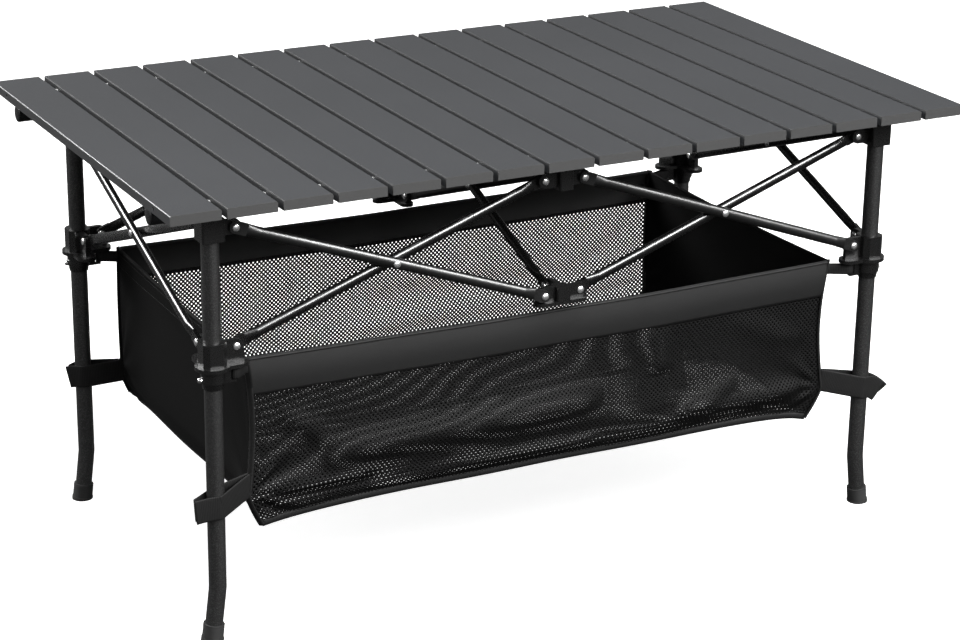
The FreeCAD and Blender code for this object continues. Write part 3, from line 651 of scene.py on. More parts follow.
HEAD = head_shape()
ACROSS_X, ACROSS_Y = np.array([1.0, 0, 0]), np.array([0, 1.0, 0])
CROSS_OFFSET = 4.8 * MM
STRUT_HALF = 4.5 * MM
CROSS_HALF = CROSS_OFFSET + STRUT_HALF
CROSS_PROUD = 0.2 * MM
head_count = 0
for corner, (side_x, side_y) in CORNERS.items():
    upper_x = side_y if side_x < 0 else -side_y
    upper_y = -side_x if side_y < 0 else side_x
    for prefix, height, sign in (("leg_", PIVOT_TOP, 1), ("slider_", PIVOT_LOW, -1)):
        middles = [((side_x * (LEG_X - LUG_REACH), side_y * LEG_Y, height), ACROSS_Y * sign * upper_x),
                   ((side_x * LEG_X, side_y * (LEG_Y - LUG_REACH), height), ACROSS_X * sign * upper_y)]
        head_count += rivet_heads(prefix + corner, [lug_rivet(*middle) for middle in middles])
for row, side_y in (("front", -1), ("rear", 1)):
    for level, height, sign in (("top", PIVOT_TOP, 1), ("low", PIVOT_LOW, -1)):
        middles = [((-CENTRE_REACH, side_y * LEG_Y, height), ACROSS_Y * -side_y * sign),
                   ((CENTRE_REACH, side_y * LEG_Y, height), ACROSS_Y * side_y * sign),
                   ((0, side_y * (LEG_Y - LUG_REACH), height), ACROSS_X * -side_y * sign)]
        head_count += rivet_heads("centre_bracket_%s_%s" % (level, row), [lug_rivet(*m) for m in middles])
    for place, side_x in (("left", -1), ("right", 1)):
        halfway = side_x * (LEG_X - LUG_REACH + CENTRE_REACH) / 2
        rivet = cross_rivet(halfway, side_y * LEG_Y, ACROSS_Y * side_y)
        head_count += rivet_heads("strut_%s_%s_b" % (row, place), [rivet])
for place, x, facing in (("left_end", -LEG_X, 1), ("centre", 0.0, 1), ("right_end", LEG_X, -1)):
    head_count += rivet_heads("strut_%s_b" % place, [cross_rivet(x, 0.0, ACROSS_X * facing)])
print(head_count, "rivet heads")

# %% [markdown]
# ## The cord between the slats
#
# Two elastic cords string the slats together, and a short pale piece of cord shows in every gap.  The
# CAD model holds each cord as one straight tube, which could not follow the top as it rolls up.  Here
# it is hidden, and a row of short straight links stands in its place, each from the slat at its left
# to the one at its right.

# %% Braided cord and its links
def braided_cord():
    made = Recipe("elastic_cord", Specular_IOR_Level=0.3, Roughness=0.75)
    place = made.place()
    x, y, z = made.parts(place)
    braid = ((x + y + z) * (2 * pi / (1.2 * MM))).wave() * ((x - y - z) * (2 * pi / (1.2 * MM))).wave()
    soil = made.noise(place, 200.0, 2.0)
    made.set(Base_Color=made.mix(grey(0.34), grey(0.72), (braid * 0.5 + 0.5) * 0.6 + soil * 0.4))
    made.relief(braid, 0.12 * MM)
    return made.material


CORD = braided_cord()
CORD_SIDE = -box("elastic_cord_front")[0][1] - 1.5 * MM
CORD_HEIGHT = (box("elastic_cord_front")[0][2] + box("elastic_cord_front")[1][2]) / 2
CORD_RADIUS = 1.55 * MM
LINK_TUCK = 4.0 * MM
LINK_SIDES = 10
SLATS = sorted(name for name in frame["nodes"] if name.startswith("slat_"))


def link(start, stop, side):
    """A short cord from start to stop along X: a capsule, thinner where the slats pinch it."""
    share = np.linspace(-1, 1, 13)
    waist = CORD_RADIUS * (1 - 0.12 * share ** 6)
    closing = np.sqrt(np.clip(1 - ((np.abs(share) - 0.8) / 0.2).clip(0, 1) ** 2 * 0.96, 0, 1))
    middle = (start + stop) / 2 + share * (stop - start) / 2
    flat = ring(LINK_SIDES) * (waist * closing)[:, None, None] + [side, CORD_HEIGHT]
    points = np.dstack([np.broadcast_to(middle[:, None], flat.shape[:2]), flat]).reshape(-1, 3)
    faces = [face[::-1] for face in tube_faces(len(share), LINK_SIDES)]
    return points, faces, np.zeros((len(points), 2))


for left, right in zip(SLATS, SLATS[1:]):
    start, stop = box(left)[1][0] - LINK_TUCK, box(right)[0][0] + LINK_TUCK
    shapes = merged([link(start, stop, side * CORD_SIDE) for side in (-1, 1)])
    links = mesh_piece("cord_links_" + left[-2:], shapes[0], shapes[1], CORD)
    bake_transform(links)
    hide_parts("elastic_cord_front", "elastic_cord_rear")
print(len(SLATS) - 1, "pairs of cord links")

# %% [markdown]
# ## Plugs in the rails
#
# A round tube would cut a hand at its raw end, so each rail end carries a pushed-in plastic plug with
# a domed face.  It is a profile turned about the rail.

# %% Rail plugs
PLUG_SIDES = 28
RAIL_WALL = 1.6 * MM


def turned(profile, middle, direction):
    """A closed solid: a profile of (distance along, radius) turned about a direction."""
    profile = np.array(profile)
    levels = np.broadcast_to(profile[:, None, :1], (len(profile), PLUG_SIDES, 1))
    flat = np.concatenate([profile[:, None, 1:] * ring(PLUG_SIDES), levels], axis=2)
    points = flat.reshape(-1, 3) @ turn_to(direction).T + np.array(middle)
    return points, tube_faces(len(profile), PLUG_SIDES), np.zeros((len(points), 2))


def rail_plugs():
    """A short barrel inside the tube and a rim as wide as the tube, domed outwards."""
    low, high = box("rail_front")
    radius = (high[2] - low[2]) / 2
    bore = radius - RAIL_WALL
    barrel = [(-9 * MM, bore * 0.94), (-8.4 * MM, bore), (0.1 * MM, bore)]
    dome = [(0.1 * MM, radius - 0.2 * MM), (0.9 * MM, radius), (1.7 * MM, radius * 0.93),
            (2.3 * MM, radius * 0.72), (2.6 * MM, radius * 0.3)]
    shapes = []
    for node in ("rail_front", "rail_rear"):
        low, high = box(node)
        for x, side in ((low[0], -1), (high[0], 1)):
            middle = (x, (low[1] + high[1]) / 2, (low[2] + high[2]) / 2)
            shapes.append(turned(barrel + dome, middle, (side, 0, 0)))
    return merged(shapes)


points, faces, _ = rail_plugs()
plugs = mesh_piece("rail_plugs", points, faces, BRACKET_PLASTIC)
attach(plugs, "rails")
print("4 rail plugs")

# %% [markdown]
# ## Cloths
#
# The basket is sewn from three cloths.  The long sides and the bottom are a knitted net with
# round holes in staggered rows; the ends and the deep hems are a tight black polyester weave; and the
# seams are bound with ribbed tape.  Their patterns follow the cloth, not the room, so the materials
# read each piece's own `cloth` map, which is in metres.

# %% Net, weave and tape
HOLE_PITCH = 5.4 * MM
ROW_PITCH = 2.75 * MM


def hole_distance(along_cloth, across_cloth):
    """Metres to the nearest hole: two square nets of holes, the second moved half a pitch."""
    nearest = None
    for shift in (0.0, 0.5):
        sideways = (along_cloth / HOLE_PITCH + shift).share() * HOLE_PITCH
        upright = (across_cloth / (2 * ROW_PITCH) + shift).share() * (2 * ROW_PITCH)
        distance = (sideways * sideways + upright * upright).power(0.5)
        nearest = distance if nearest is None else nearest.least(distance)
    return nearest


def net_cloth(name, hole):
    """Knitted mesh with round holes; hole is their radius."""
    made = Recipe(name, Specular_IOR_Level=0.05)
    cloth = made.cloth()
    along_cloth, across_cloth, _ = made.parts(cloth)
    distance = hole_distance(along_cloth, across_cloth)
    yarn = made.noise(cloth, 2600.0, 2.0)
    bars = distance.ramp(hole, hole + 0.7 * MM)
    made.set(Alpha=distance.ramp(hole - 0.12 * MM, hole + 0.12 * MM))
    made.set(Base_Color=made.mix(grey(0.002), grey(0.014), bars * (0.4 + yarn)))
    made.set(Roughness=0.50 + yarn * 0.2)
    made.relief(bars * 0.8 + yarn * 0.3, 0.30 * MM)
    return made.material


def weave_cloth(name, dark, light, roughness, thread=0.55 * MM, depth=0.05 * MM, gloss=0.12):
    """Plain weave: the two threads go over and under as the product of two sine waves."""
    made = Recipe(name, Specular_IOR_Level=gloss)
    cloth = made.cloth()
    along_cloth, across_cloth, _ = made.parts(cloth)
    weave = (along_cloth * (pi / thread)).wave() * (across_cloth * (pi / thread)).wave()
    slub = made.noise(made.stretched(cloth, (1.0, 12.0, 1.0)), 160.0, 3.0)
    broad = made.noise(cloth, 7.0, 3.0)
    shade = weave * 0.25 + 0.25 + slub * 0.35 + broad * 0.15
    made.set(Base_Color=made.mix(grey(dark), grey(light), shade))
    made.set(Roughness=roughness + slub * 0.14)
    made.relief(weave * 0.5 + slub, depth)
    return made.material


def ribbed_tape(name, dark, light, rib):
    """Grosgrain tape: ribs across its length."""
    made = Recipe(name, Specular_IOR_Level=0.12)
    cloth = made.cloth()
    along_cloth, across_cloth, _ = made.parts(cloth)
    ribs = (along_cloth * (2 * pi / rib)).wave() * 0.5 + 0.5
    fuzz = made.noise(cloth, 1800.0, 3.0)
    made.set(Base_Color=made.mix(grey(dark), grey(light), ribs * 0.6 + fuzz * 0.4))
    made.set(Roughness=0.58 + fuzz * 0.2)
    made.relief(ribs * 0.6 + fuzz * 0.5, 0.22 * MM)
    return made.material


NET = net_cloth("basket_net", 0.98 * MM)
BOTTOM_NET = net_cloth("basket_bottom_net", 1.14 * MM)
END_WEAVE = weave_cloth("basket_end_weave", 0.003, 0.0075, 0.58, gloss=0.04)
HEM_WEAVE = weave_cloth("basket_hem_weave", 0.012, 0.036, 0.55, thread=0.8 * MM, depth=0.12 * MM)
TAPE = ribbed_tape("basket_tape", 0.004, 0.014, 1.6 * MM)
WEBBING = ribbed_tape("strap_webbing", 0.003, 0.012, 1.9 * MM)
THREAD = weave_cloth("basket_thread", 0.010, 0.035, 0.5)
print("cloths: net, two weaves, tape, webbing and thread")

# %% [markdown]
# ## The shape of the basket
#
# An empty basket hangs from four hooks and is tied to the legs by four straps lower down.  So each
# upright corner has three fixed heights: it is held out at the hook and again at the strap, it curves
# inwards between them, and below the strap it tucks under.  Every panel spans two of these corner
# lines.  Between them it sags, and its creases run from the places that pull on it.

# %% Corner lines of the basket
basket_low, basket_high = box("basket")
straps_low, straps_high = box("basket_straps")
RIM_HEIGHT = basket_high[2] + 1.5 * MM
STRAP_LEVEL = (straps_low[2] + straps_high[2]) / 2 - 3 * MM
STRAP_DEPTH = RIM_HEIGHT - STRAP_LEVEL
LEFT_END, RIGHT_END = basket_low[0] - 1.0 * MM, basket_high[0] - 7.0 * MM
SIDE_PLACE = basket_high[1]
# How each corner hangs: how far in from the end, how deep its waist, how far it tucks under, and how
# far its foot is above the bottom of the CAD basket.
FRONT_HANG = (0.0, 7.0 * MM, 17.0 * MM, -7.5 * MM)
HANG = {(-1, -1): FRONT_HANG, (1, -1): FRONT_HANG,
        (-1, 1): (4.5 * MM, -1.0 * MM, 8.0 * MM, 8.0 * MM),
        (1, 1): (6.0 * MM, 2.0 * MM, 8.0 * MM, 7.0 * MM)}


def depth_of(side_x, side_y):
    """From the rim to the foot of a corner."""
    return RIM_HEIGHT - basket_low[2] - HANG[side_x, side_y][3]


def corner_line(side_x, side_y, share):
    """A corner of the basket from its rim (share 0) to its foot (share 1).

    Between rim and strap it curves in by half a sine wave, and below the strap it tucks under.
    """
    inset, waist, tuck, _ = HANG[side_x, side_y]
    strap_share = STRAP_DEPTH / depth_of(side_x, side_y)
    curve = waist * np.sin(pi * np.clip(share / strap_share, 0, 1))
    curve = curve + tuck * np.clip((share - strap_share) / (1 - strap_share), 0, 1) ** 1.3
    x = (LEFT_END if side_x < 0 else RIGHT_END) - side_x * (inset + curve)
    y = side_y * (SIDE_PLACE - 0.3 * curve)
    return np.stack([x, y, RIM_HEIGHT - depth_of(side_x, side_y) * share], axis=-1)


FRONT_DEPTH, REAR_DEPTH = depth_of(-1, -1), depth_of(-1, 1)
BASKET_HEIGHT = max(FRONT_DEPTH, REAR_DEPTH)
STRAP_SHARE = STRAP_DEPTH / BASKET_HEIGHT
CORNER_DROP = FRONT_DEPTH - (RIM_HEIGHT - basket_low[2])
CORNER_REACH = 35 * MM


def bell(value, middle, width):
    """A smooth hump, 1 at its middle."""
    return np.exp(-((value - middle) / width) ** 2)


def creases(across, share, corner_across, seed):
    """Creases that run from a lower corner: ridges at steady angles round it, fading with distance."""
    far = np.hypot((across - corner_across) * 3.6, (share - STRAP_SHARE) * 1.0)
    angle = np.arctan2(STRAP_SHARE - share, np.abs(across - corner_across) * 3.6 + 1e-6)
    return np.sin(angle * 9.0 + seed) * np.exp(-far / 0.55) * np.clip(far / 0.12, 0, 1)


# The slack of the net gathers in soft rolls.  Each runs from one place to another on the side, given
# as x and height, with how far it stands out and how wide it is, all in millimetres.
ROLLS = [(-285, 184, 70, 192, 9.0, 19), (-230, 146, 60, 142, 4.5, 10), (160, 156, 330, 154, 6.0, 12),
         (132, 262, 138, 206, 4.5, 13), (245, 182, 130, 142, 3.0, 9), (-350, 150, -225, 153, 3.5, 7),
         (-340, 136, -120, 138, 2.5, 6), (-330, 246, -268, 196, 3.0, 12), (225, 262, 330, 214, 3.0, 14)]


def rolls(x, height):
    """How far the net stands out: each roll is a bell across its line, fading at both ends."""
    total = 0.0
    for x_from, height_from, x_to, height_to, rise, wide in ROLLS:
        run, climb = (x_to - x_from) * MM, (height_to - height_from) * MM
        beside, above = x - x_from * MM, height - height_from * MM
        share = np.clip((beside * run + above * climb) / (run ** 2 + climb ** 2), 0, 1)
        away = np.hypot(beside - share * run, above - share * climb)
        total = total + rise * MM * bell(away, 0.0, wide * MM) * (1 - (2 * share - 1) ** 6)
    return total


RIM_SAG = 3.5 * MM
SIDE_BELLY = 2.5 * MM
END_SAG = 3.0 * MM
END_BELLY = 4.0 * MM


def long_side(side_y, across, share):
    """The net side at shares of its length and height; side_y is -1 in front and 1 at the rear.

    Only the corners hang to their full depth, and the rim sags between them.  The net bellies out, two
    long waves drape it, and folds, rolls and creases gather low down, where it is calm along its edges.
    """
    start, finish = corner_line(-1, side_y, share), corner_line(1, side_y, share)
    place = start * (1 - across[..., None]) + finish * across[..., None]
    length = RIGHT_END - LEFT_END
    inner = np.sin(pi * across)
    seed = 0.0 if side_y < 0 else 1.9
    lift = CORNER_DROP + 2.5 * MM if side_y < 0 else -3.0 * MM
    near = np.exp(-across * length / 0.060) + np.exp(-(1 - across) * length / 0.032)
    place[..., 2] += share ** 2 * lift * (1 - np.clip(near, 0, 1))
    place[..., 2] -= (1 - share) * RIM_SAG * inner
    belly = SIDE_BELLY * np.sin(pi * share ** 1.2) * inner ** 0.6
    drape = 1.2 * MM * np.sin(2 * pi * (1.35 * across - 0.75 * share) + 0.9 + seed)
    drape += 0.8 * MM * np.sin(2 * pi * (2.7 * across + 1.1 * share) + 2.2 + seed)
    low_folds = 0.9 * MM * np.sin(2 * pi * 5.2 * share + 5.0 * across + seed) * bell(share, 0.88, 0.13)
    low_folds = low_folds + rolls(place[..., 0] * -side_y, place[..., 2])
    pulls = creases(across, share, 0.0, seed) * 2.0 * MM + creases(across, share, 1.0, seed + 1) * 1.6 * MM
    calm = np.clip((share - 0.20) / 0.25, 0, 1) * np.clip((1.0 - share) / 0.06, 0, 1)
    edge = np.clip(across / 0.02, 0, 1) * np.clip((1 - across) / 0.02, 0, 1)
    ripple = 0.9 * MM * np.sin(2 * pi * 3.3 * across + seed) * inner
    place[..., 1] += side_y * (belly + (drape * inner + low_folds + pulls) * calm * edge + ripple)
    return place


def short_side(side_x, across, share):
    """A woven end at shares of its width, from front to rear, and of its height.

    Its lower edge stays as high as the rear corner, and droops only close to the front one.
    """
    start, finish = corner_line(side_x, -1, share), corner_line(side_x, 1, share)
    place = start * (1 - across[..., None]) + finish * across[..., None]
    inner = np.sin(pi * across)
    seed = 0.7 if side_x < 0 else 2.6
    tucked = 1.5 * MM * np.clip((share - 0.70) / 0.30, 0, 1) ** 1.6 * inner ** 0.5
    belly = END_BELLY * np.sin(pi * share ** 1.3) * inner
    folds = 1.6 * MM * np.sin(2 * pi * (1.1 * across + 0.5 * share) + seed) * inner
    folds += creases(across, share, 0.0, seed) * 1.5 * MM + creases(across, share, 1.0, seed) * 1.5 * MM
    edge = np.clip(across / 0.04, 0, 1) * np.clip((1 - across) / 0.04, 0, 1)
    place[..., 0] += side_x * (belly - tucked + folds * edge * np.clip(share / 0.2, 0, 1))
    rear_higher = finish[..., 2] - start[..., 2]
    droop = np.exp(-across * 2 * SIDE_PLACE / CORNER_REACH)
    place[..., 2] += share ** 2 * (rear_higher * (1 - across - droop) - 1.5 * MM * inner)
    place[..., 2] -= (1 - share) * END_SAG * inner
    return place


def shares(rows, columns, height=(0.0, 1.0)):
    """Two arrays (rows, columns): how far across and how far down each point is."""
    down, over = np.meshgrid(np.linspace(*height, rows), np.linspace(0.0, 1.0, columns), indexing="ij")
    return over, down


def cloth_map(points):
    """Running lengths of a grid along its middle row and middle column, as cloth coordinates."""
    rows, columns = points.shape[:2]
    over, down = along(points[rows // 2]), along(points[:, columns // 2])
    return np.stack(np.meshgrid(over, down, indexing="xy"), axis=-1)


print("basket %.0f x %.0f x %.0f mm"
      % ((RIGHT_END - LEFT_END) / MM, 2 * SIDE_PLACE / MM, BASKET_HEIGHT / MM))

# %% [markdown]
# As the frame folds, the legs come together and the real cloth crumples.  Each panel here rides on
# the leg that it is tied to and keeps its shape.  The bottom lies between two legs that move in
# different directions, so it is two halves that slide over each other.

# %% How the cloth follows the fold
# Each side: its name, which way it faces, and the leg that it rides on.
LONG_SIDES = (("front", -1, "leg_front_left"), ("rear", 1, "leg_rear_left"))
SHORT_SIDES = (("left", -1, "leg_front_left"), ("right", 1, "leg_front_right"))
FOLD = radians(joints["frame_fold"]["range_deg"][1])
STRUT_RISE = PIVOT_TOP - PIVOT_LOW
STRUT_RUN = LEG_X - LUG_REACH - CENTRE_REACH
STRUT_LENGTH = float(np.hypot(STRUT_RUN, STRUT_RISE))
FOLDED_RUN = STRUT_LENGTH * cos(np.arctan2(STRUT_RISE, STRUT_RUN) + FOLD)
X_CLOSE = 2 * (STRUT_RUN - FOLDED_RUN)
Y_CLOSE = STRUT_RUN - FOLDED_RUN
KEEP_X = (RIGHT_END - LEFT_END - X_CLOSE) / (RIGHT_END - LEFT_END)
KEEP_Y = (2 * SIDE_PLACE - Y_CLOSE) / (2 * SIDE_PLACE)


def hang(piece, body, way, slot="basket_fabric"):
    """Applies a basket piece's modifiers, rides it on a leg, gives it its own mesh when a way is given,
    and hides the CAD part.
    """
    for modifier in list(piece.modifiers):
        with bpy.context.temp_override(object=piece, active_object=piece, selected_objects=[piece]):
            bpy.ops.object.modifier_apply(modifier=modifier.name)
    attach(piece, body)
    if way:
        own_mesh(piece)
    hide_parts("basket_straps" if slot == "strap_webbing" else "basket")
    return piece


print("the fold closes the table by %.0f mm along X and %.0f mm along Y" % (X_CLOSE / MM, Y_CLOSE / MM))

# %% [markdown]
# The panels themselves are now short: a grid of shares, the shape, and a cloth map.  The net starts
# under the hem, which is a second, thicker cloth laid over it on the outside.

# %% Panels of the basket
NET_THICKNESS = 0.6 * MM
WEAVE_THICKNESS = 0.9 * MM
HEM_DEPTH = 44 * MM
HEM_SHARE = HEM_DEPTH / BASKET_HEIGHT
HEM_PROUD = 1.0 * MM
HEM_BULGE = 2.4 * MM
HEM_THICKNESS = 1.3 * MM
panels, measures = {}, {}


def keep_panel(name, points, material, thickness, body, way):
    """Makes a panel, hangs it, and notes its flat size in measures."""
    coordinates = cloth_map(points)
    panels[name] = hang(skin(name, points, material, coordinates, thickness), body, way)
    measures[name] = tuple(float(v) for v in coordinates[-1, -1])


for row, side_y, body in LONG_SIDES:
    over, down = shares(64, 300, height=(HEM_SHARE * 0.9, 1.0))
    points = long_side(side_y, over, down)
    keep_panel("basket_net_" + row, points[:, ::-side_y], NET, NET_THICKNESS, body, "x")
    over, down = shares(14, 240, height=(0.0, HEM_SHARE))
    points = long_side(side_y, over, down)
    points[..., 1] += side_y * (HEM_PROUD + HEM_BULGE * np.sin(pi * down / HEM_SHARE))
    keep_panel("basket_hem_" + row, points[:, ::-side_y], HEM_WEAVE, HEM_THICKNESS, body, "x")
for side, side_x, body in SHORT_SIDES:
    over, down = shares(60, 120)
    points = short_side(side_x, over, down)
    keep_panel("basket_end_" + side, points[:, ::side_x], END_WEAVE, WEAVE_THICKNESS, body, "y")


def bottom_patch(rows, columns, front, rear):
    """A patch between four edges: the two blends of opposite edges, less the blend of the corners."""
    over, deep = shares(rows, columns, height=(front, rear))
    one = np.ones(1)
    south = long_side(-1, over[0], one)[None]
    north = long_side(1, over[0], one)[None]
    west = short_side(-1, deep[:, 0], one)[:, None]
    east = short_side(1, deep[:, 0], one)[:, None]
    u, v = over[..., None], deep[..., None]
    corner = {key: corner_line(*key, one)[0] for key in ((-1, -1), (1, -1), (-1, 1), (1, 1))}
    corners = ((1 - u) * (1 - v) * corner[-1, -1] + u * (1 - v) * corner[1, -1]
               + (1 - u) * v * corner[-1, 1] + u * v * corner[1, 1])
    points = south * (1 - v) + north * v + west * (1 - u) + east * u - corners
    inner = np.sin(pi * over) * np.sin(pi * deep)
    points[..., 2] -= inner * (4 * MM + 1.5 * MM * np.sin(2 * pi * (2.2 * over + 0.7 * deep)))
    return points


# Each half reaches a little past the middle, and the rear one is lifted there to lie on the other.
BOTTOM_HALVES = (("front", 0.0, 0.52, "leg_front_left"), ("rear", 0.48, 1.0, "leg_rear_left"))
for row, front, rear, body in BOTTOM_HALVES:
    points = bottom_patch(50, 200, front, rear)
    if row == "rear":
        deep = shares(50, 200, height=(front, rear))[1]
        points[..., 2] += 1.2 * MM * np.clip((0.56 - deep) / 0.06, 0, 1)
    keep_panel("basket_bottom_" + row, points[::-1], BOTTOM_NET, NET_THICKNESS, body, "x")
print("panels:", ", ".join("%s %.0fx%.0f" % (name, w / MM, t / MM) for name, (w, t) in measures.items()))

# %% [markdown]
# ## Binding, rolled rim and stitches
#
# A cut edge of net would fray, so a tape is folded over every seam and sewn down.  The tape is an
# oval carried along the seam.  Along the rim the hem is rolled over a cord, which is the light line
# under the top edge, and a row of stitches holds it.  Each stitch is a bead a few millimetres long.

# %% Tape and rolled rim
def recalculated(piece):
    """Turns every face of a closed mesh outwards."""
    work = bmesh.new()
    work.from_mesh(piece.data)
    bmesh.ops.recalc_face_normals(work, faces=work.faces)
    work.to_mesh(piece.data)
    work.free()
    return piece


def tape(name, path, wide, tall, upward, body, way, material=TAPE):
    """A binding along a path; wide and tall are in millimetres."""
    points, faces, coordinates = carry(path, oval(wide * MM, tall * MM), np.array(upward, float))
    return recalculated(hang(mesh_piece(name, points, faces, material, coordinates), body, way))


SEAM_POINTS = 160
line = np.linspace(0, 1, SEAM_POINTS)


def all_at(share):
    """The same share at every point of a seam."""
    return np.full(SEAM_POINTS, share)


UP = (0, 0, 1)
RIM_SHARE = 0.012
for row, side_y, body in LONG_SIDES:
    outward = np.array([0, side_y, 0])
    rim = long_side(side_y, line, all_at(RIM_SHARE)) + outward * 1.4 * MM
    tape("basket_rim_" + row, rim, 4.4, 3.4, UP, body, "x", HEM_WEAVE)
    foot = long_side(side_y, line, all_at(1.0)) + outward * 0.4 * MM
    foot[:, 2] += 1.5 * MM
    tape("basket_foot_tape_" + row, foot, 3.0, 8.0, UP, body, "x")
for side, side_x, body in SHORT_SIDES:
    outward = np.array([side_x, 0, 0])
    rim = short_side(side_x, line, all_at(RIM_SHARE)) + outward * 0.8 * MM
    tape("basket_rim_" + side, rim, 3.6, 3.4, UP, body, "y", END_WEAVE)
    tape("basket_foot_tape_" + side, short_side(side_x, line, all_at(1.0)), 2.6, 5.0, UP, body, "y")
for corner, (side_x, side_y) in CORNERS.items():
    outward = np.array([side_x, side_y, 0])
    seam = corner_line(side_x, side_y, line) + outward * 0.7 * MM
    tape("basket_seam_" + corner, seam, 7.0, 3.0, outward, "leg_" + corner, None)
print("tape on 4 seams, 4 rims and 4 lower edges")

# %% Stitches
STITCH_PITCH = 4.2 * MM
STITCH_LONG = 2.9 * MM
STITCH_WIDE = 0.75 * MM


def bead():
    """One stitch lying along X, highest in the middle."""
    share = np.array([-1.0, -0.7, 0.0, 0.7, 1.0])
    radius = STITCH_WIDE / 2 * np.array([0.25, 0.8, 1.0, 0.8, 0.25])
    flat = ring(5) * radius[:, None, None]
    length = np.broadcast_to(share[:, None] * STITCH_LONG / 2, flat.shape[:2])
    return np.dstack([length, flat]).reshape(-1, 3), [face[::-1] for face in tube_faces(5, 5)]


def stitches(name, paths, outward, body, way):
    """Rows of stitches along paths, standing just proud of the cloth."""
    places, turns = [], []
    for path in paths:
        stops = np.arange(STITCH_PITCH, along(path)[-1] - STITCH_PITCH / 2, STITCH_PITCH)
        spots, ahead = at_lengths(path, stops), at_lengths(path, stops + 1 * MM)
        forward = (ahead - spots) / np.linalg.norm(ahead - spots, axis=1, keepdims=True)
        side = np.cross(outward, forward)
        side /= np.linalg.norm(side, axis=1, keepdims=True)
        places.append(spots)
        turns.append(np.stack([forward, side, np.cross(forward, side)], axis=2))
    points, faces = scatter(*bead(), np.vstack(places), np.vstack(turns))
    thing = mesh_piece(name, points, faces, THREAD, points[:, :2])
    return hang(recalculated(thing), body, way)


for row, side_y, body in LONG_SIDES:
    outward = np.array([0.0, side_y, 0.0])
    rows = ((0.040, 1.9), (HEM_SHARE - 0.016, 1.9), (0.965, 2.1))
    paths = [long_side(side_y, line, all_at(share)) + outward * proud * MM for share, proud in rows]
    stitches("basket_stitches_" + row, paths, outward, body, "x")
for side, side_x, body in SHORT_SIDES:
    outward = np.array([side_x, 0.0, 0.0])
    rows = [(line, all_at(share)) for share in (0.045, 0.12)]
    rows += [(all_at(across), np.linspace(0.04, 0.96, SEAM_POINTS)) for across in (0.022, 0.978)]
    paths = [short_side(side_x, across, share) + outward * 0.7 * MM for across, share in rows]
    stitches("basket_stitches_" + side, paths, outward, body, "y")
print("stitched rows on 4 sides")

# %% [markdown]
# ## Straps and hook tabs
#
# Low down, each corner of the basket ends in two webbing tails.  They go round the leg, one on each
# side, and grip each other beyond it with hook-and-loop tape, which leaves a short free end.  A band
# pulled tight round a tube is straight, then an arc, then straight again, so its path is two tangents
# and the arc between them.

# %% Straps round the legs
STRAP_TALL = 27 * MM
STRAP_THICK = 1.5 * MM
STRAP_RADIUS = (box("leg_front_left")[1][1] - box("leg_front_left")[0][1]) / 2 + 0.4 * MM + STRAP_THICK / 2
# For each strap: the free end past the middle of the leg, how far that end droops, how far the band
# climbs from the leg to the basket, and how much higher than the others it was tied.
STRAPS = {"front_left": (25.0 * MM, 1.5 * MM, 10.0 * MM, 2.0 * MM),
          "front_right": (23.0 * MM, 14.0 * MM, 11.0 * MM, -3.0 * MM),
          "rear_left": (15.0 * MM, 2.0 * MM, 1.0 * MM, 4.0 * MM),
          "rear_right": (23.0 * MM, 6.0 * MM, 5.0 * MM, 1.0 * MM)}
print("straps at %.0f mm" % (STRAP_LEVEL / MM))


def tight_band(reach, tail, radius, gap):
    """Half of a band round a tube at the origin: from (reach, gap), along the tangent, over the arc, and
    along the other tangent to (-tail, gap)."""
    near = np.arccos(radius / reach)
    far = pi - np.arccos(radius / tail)
    angle = np.linspace(near, far, 24)
    arc = np.stack([np.cos(angle), np.sin(angle)], axis=1) * radius
    first = np.linspace([reach, gap], arc[0], 14)[:-1]
    last = np.linspace(arc[-1], [-tail, gap], 14)[1:]
    return np.vstack([first, arc, last])


def strap(corner, side_x, side_y):
    """Two bands between the basket's corner and the free end beyond the leg.

    The free end droops and its two layers part by the square of the way along it.
    """
    tail, droop, climb, higher = STRAPS[corner]
    leg = np.array([side_x * LEG_X, side_y * LEG_Y, 0.0])
    strap_share = STRAP_DEPTH / depth_of(side_x, side_y)
    corner_at = corner_line(side_x, side_y, np.array([strap_share]))[0] * [1, 1, 0]
    reach = np.linalg.norm(corner_at - leg)
    forward = (corner_at - leg) / reach
    sideways = np.array([-forward[1], forward[0], 0.0])
    square = oval(STRAP_THICK, STRAP_TALL, 16)
    half = np.array([STRAP_THICK, STRAP_TALL]) / 2
    outline = np.sign(square) * np.abs(square / half) ** 0.35 * half
    shapes = []
    for side, longer in ((1, 0.0), (-1, 3.0 * MM)):
        flat = tight_band(reach + 3 * MM, tail + longer, STRAP_RADIUS, STRAP_THICK * 0.55)
        path = leg + flat[:, :1] * forward + flat[:, 1:] * side * sideways
        beyond = np.clip((-flat[:, 0] - STRAP_RADIUS * 0.4) / tail, 0, None) ** 2
        path[:, 2] = STRAP_LEVEL + higher + np.clip(flat[:, 0] / reach, 0, 1) * climb - droop * beyond
        path += sideways * side * beyond[:, None] * 2.5 * MM
        shapes.append(carry(path, outline, np.array([0.0, 0.0, 1.0])))
    points, faces, coordinates = merged(shapes)
    return mesh_piece("strap_" + corner, points, faces, WEBBING, coordinates)


for corner, (side_x, side_y) in CORNERS.items():
    piece = recalculated(strap(corner, side_x, side_y))
    hang(piece, "leg_" + corner, None, slot="strap_webbing")
print("4 straps,", round(STRAP_TALL / MM), "mm wide")

# %% Tabs on the hooks
HOOK_X = LEG_X - 21 * MM
TAB_TALL = 12.0 * MM
TAB_LEVEL = RIM_HEIGHT - 11.0 * MM
TAB_THICK = 1.2 * MM
TAB_POINTS = 48
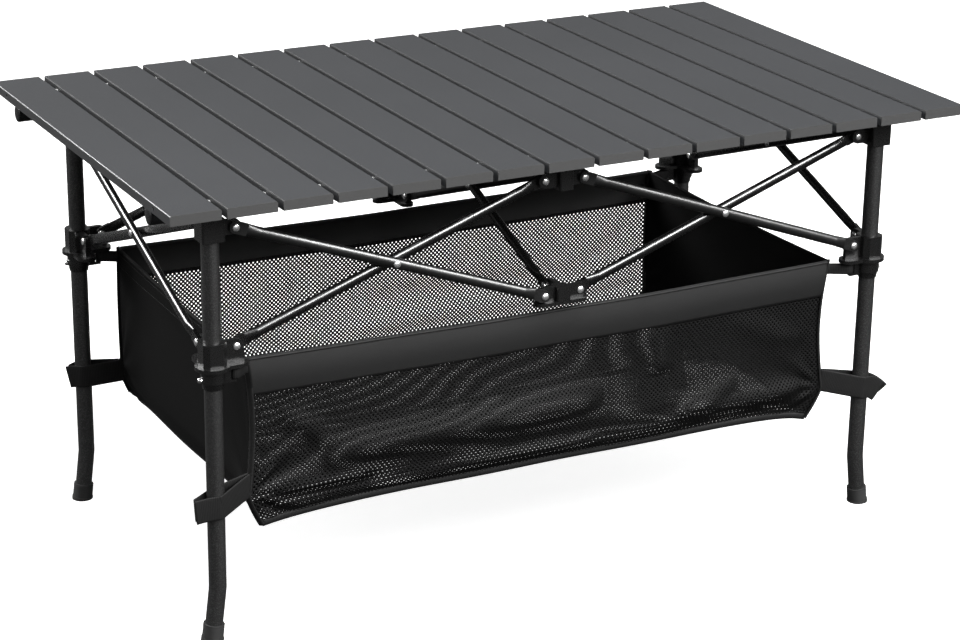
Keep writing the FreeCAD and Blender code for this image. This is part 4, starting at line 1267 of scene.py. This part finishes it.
# The loop as offsets in millimetres, outwards along x and y: from the basket's corner, round the hook,
# and back to the corner.
TAB_OUT = [(-4, 1.5), (3, 3)]
ROUND_HOOK = [(-7, 3), (-1, 3), (0, 2), (0, -2), (-1, -3), (-7, -3)]
TAB_BACK = [(3, -1), (-4, -1.5)]


def hook_tab(corner, side_x, side_y):
    """A narrow loop from the basket's corner through the slot of the hook and back."""
    side = np.array([side_x, side_y])
    corner_at = corner_line(side_x, side_y, np.array([0.05]))[0, :2]
    hook_at = side * [HOOK_X, LEG_Y]
    stretches = ((corner_at, TAB_OUT), (hook_at, ROUND_HOOK), (corner_at, TAB_BACK))
    loop = np.vstack([start + side * np.array(offsets) * MM for start, offsets in stretches])
    loop = at_lengths(loop, np.linspace(0, along(loop)[-1], TAB_POINTS))
    loop[1:-1] = (loop[:-2] + loop[1:-1] + loop[2:]) / 3
    path = np.c_[loop, np.full(TAB_POINTS, TAB_LEVEL)]
    points, faces, coordinates = carry(path, oval(TAB_THICK, TAB_TALL), np.array([0.0, 0.0, 1.0]))
    return mesh_piece("hook_tab_" + corner, points, faces, WEBBING, coordinates)


for corner, (side_x, side_y) in CORNERS.items():
    hang(recalculated(hook_tab(corner, side_x, side_y)), "leg_" + corner, None)
print("4 hook tabs")

# %% [markdown]
# ## The cloth panels
#
# A panel of cloth has the size that it was cut to.  The cloth maps above already measured each grid,
# and keep_panel noted those sizes in measures; here the panels are only counted.

# %% Count of panels
print(len(panels), "sheets declared")

# %% [markdown]
# ## The floor
#
# A plain pale floor, large enough to fill the picture, with a barely visible unevenness.  It is kept
# out of the gloss of the tubes and throws no light up onto the cloth, as if it lay far below.

# %% Floor
def floor_finish():
    made = Recipe("floor", Specular_IOR_Level=0.0, Roughness=0.9, Emission_Strength=0.85)
    cloud = made.noise(made.place(), 3.0, 2.0)
    made.set(Base_Color=made.mix(grey(0.90), grey(0.94), cloud))
    made.set(Emission_Color=(1.0, 1.0, 1.0))
    return made.material


FLOOR_REACH = 12.0
corners = [(-FLOOR_REACH, -FLOOR_REACH, 0), (FLOOR_REACH, -FLOOR_REACH, 0),
           (FLOOR_REACH, FLOOR_REACH, 0), (-FLOOR_REACH, FLOOR_REACH, 0)]
floor = mesh_piece("floor", corners, [[0, 1, 2, 3]], floor_finish())
floor.visible_diffuse = False
floor.visible_glossy = False
print("floor %.0f m across" % (2 * FLOOR_REACH))
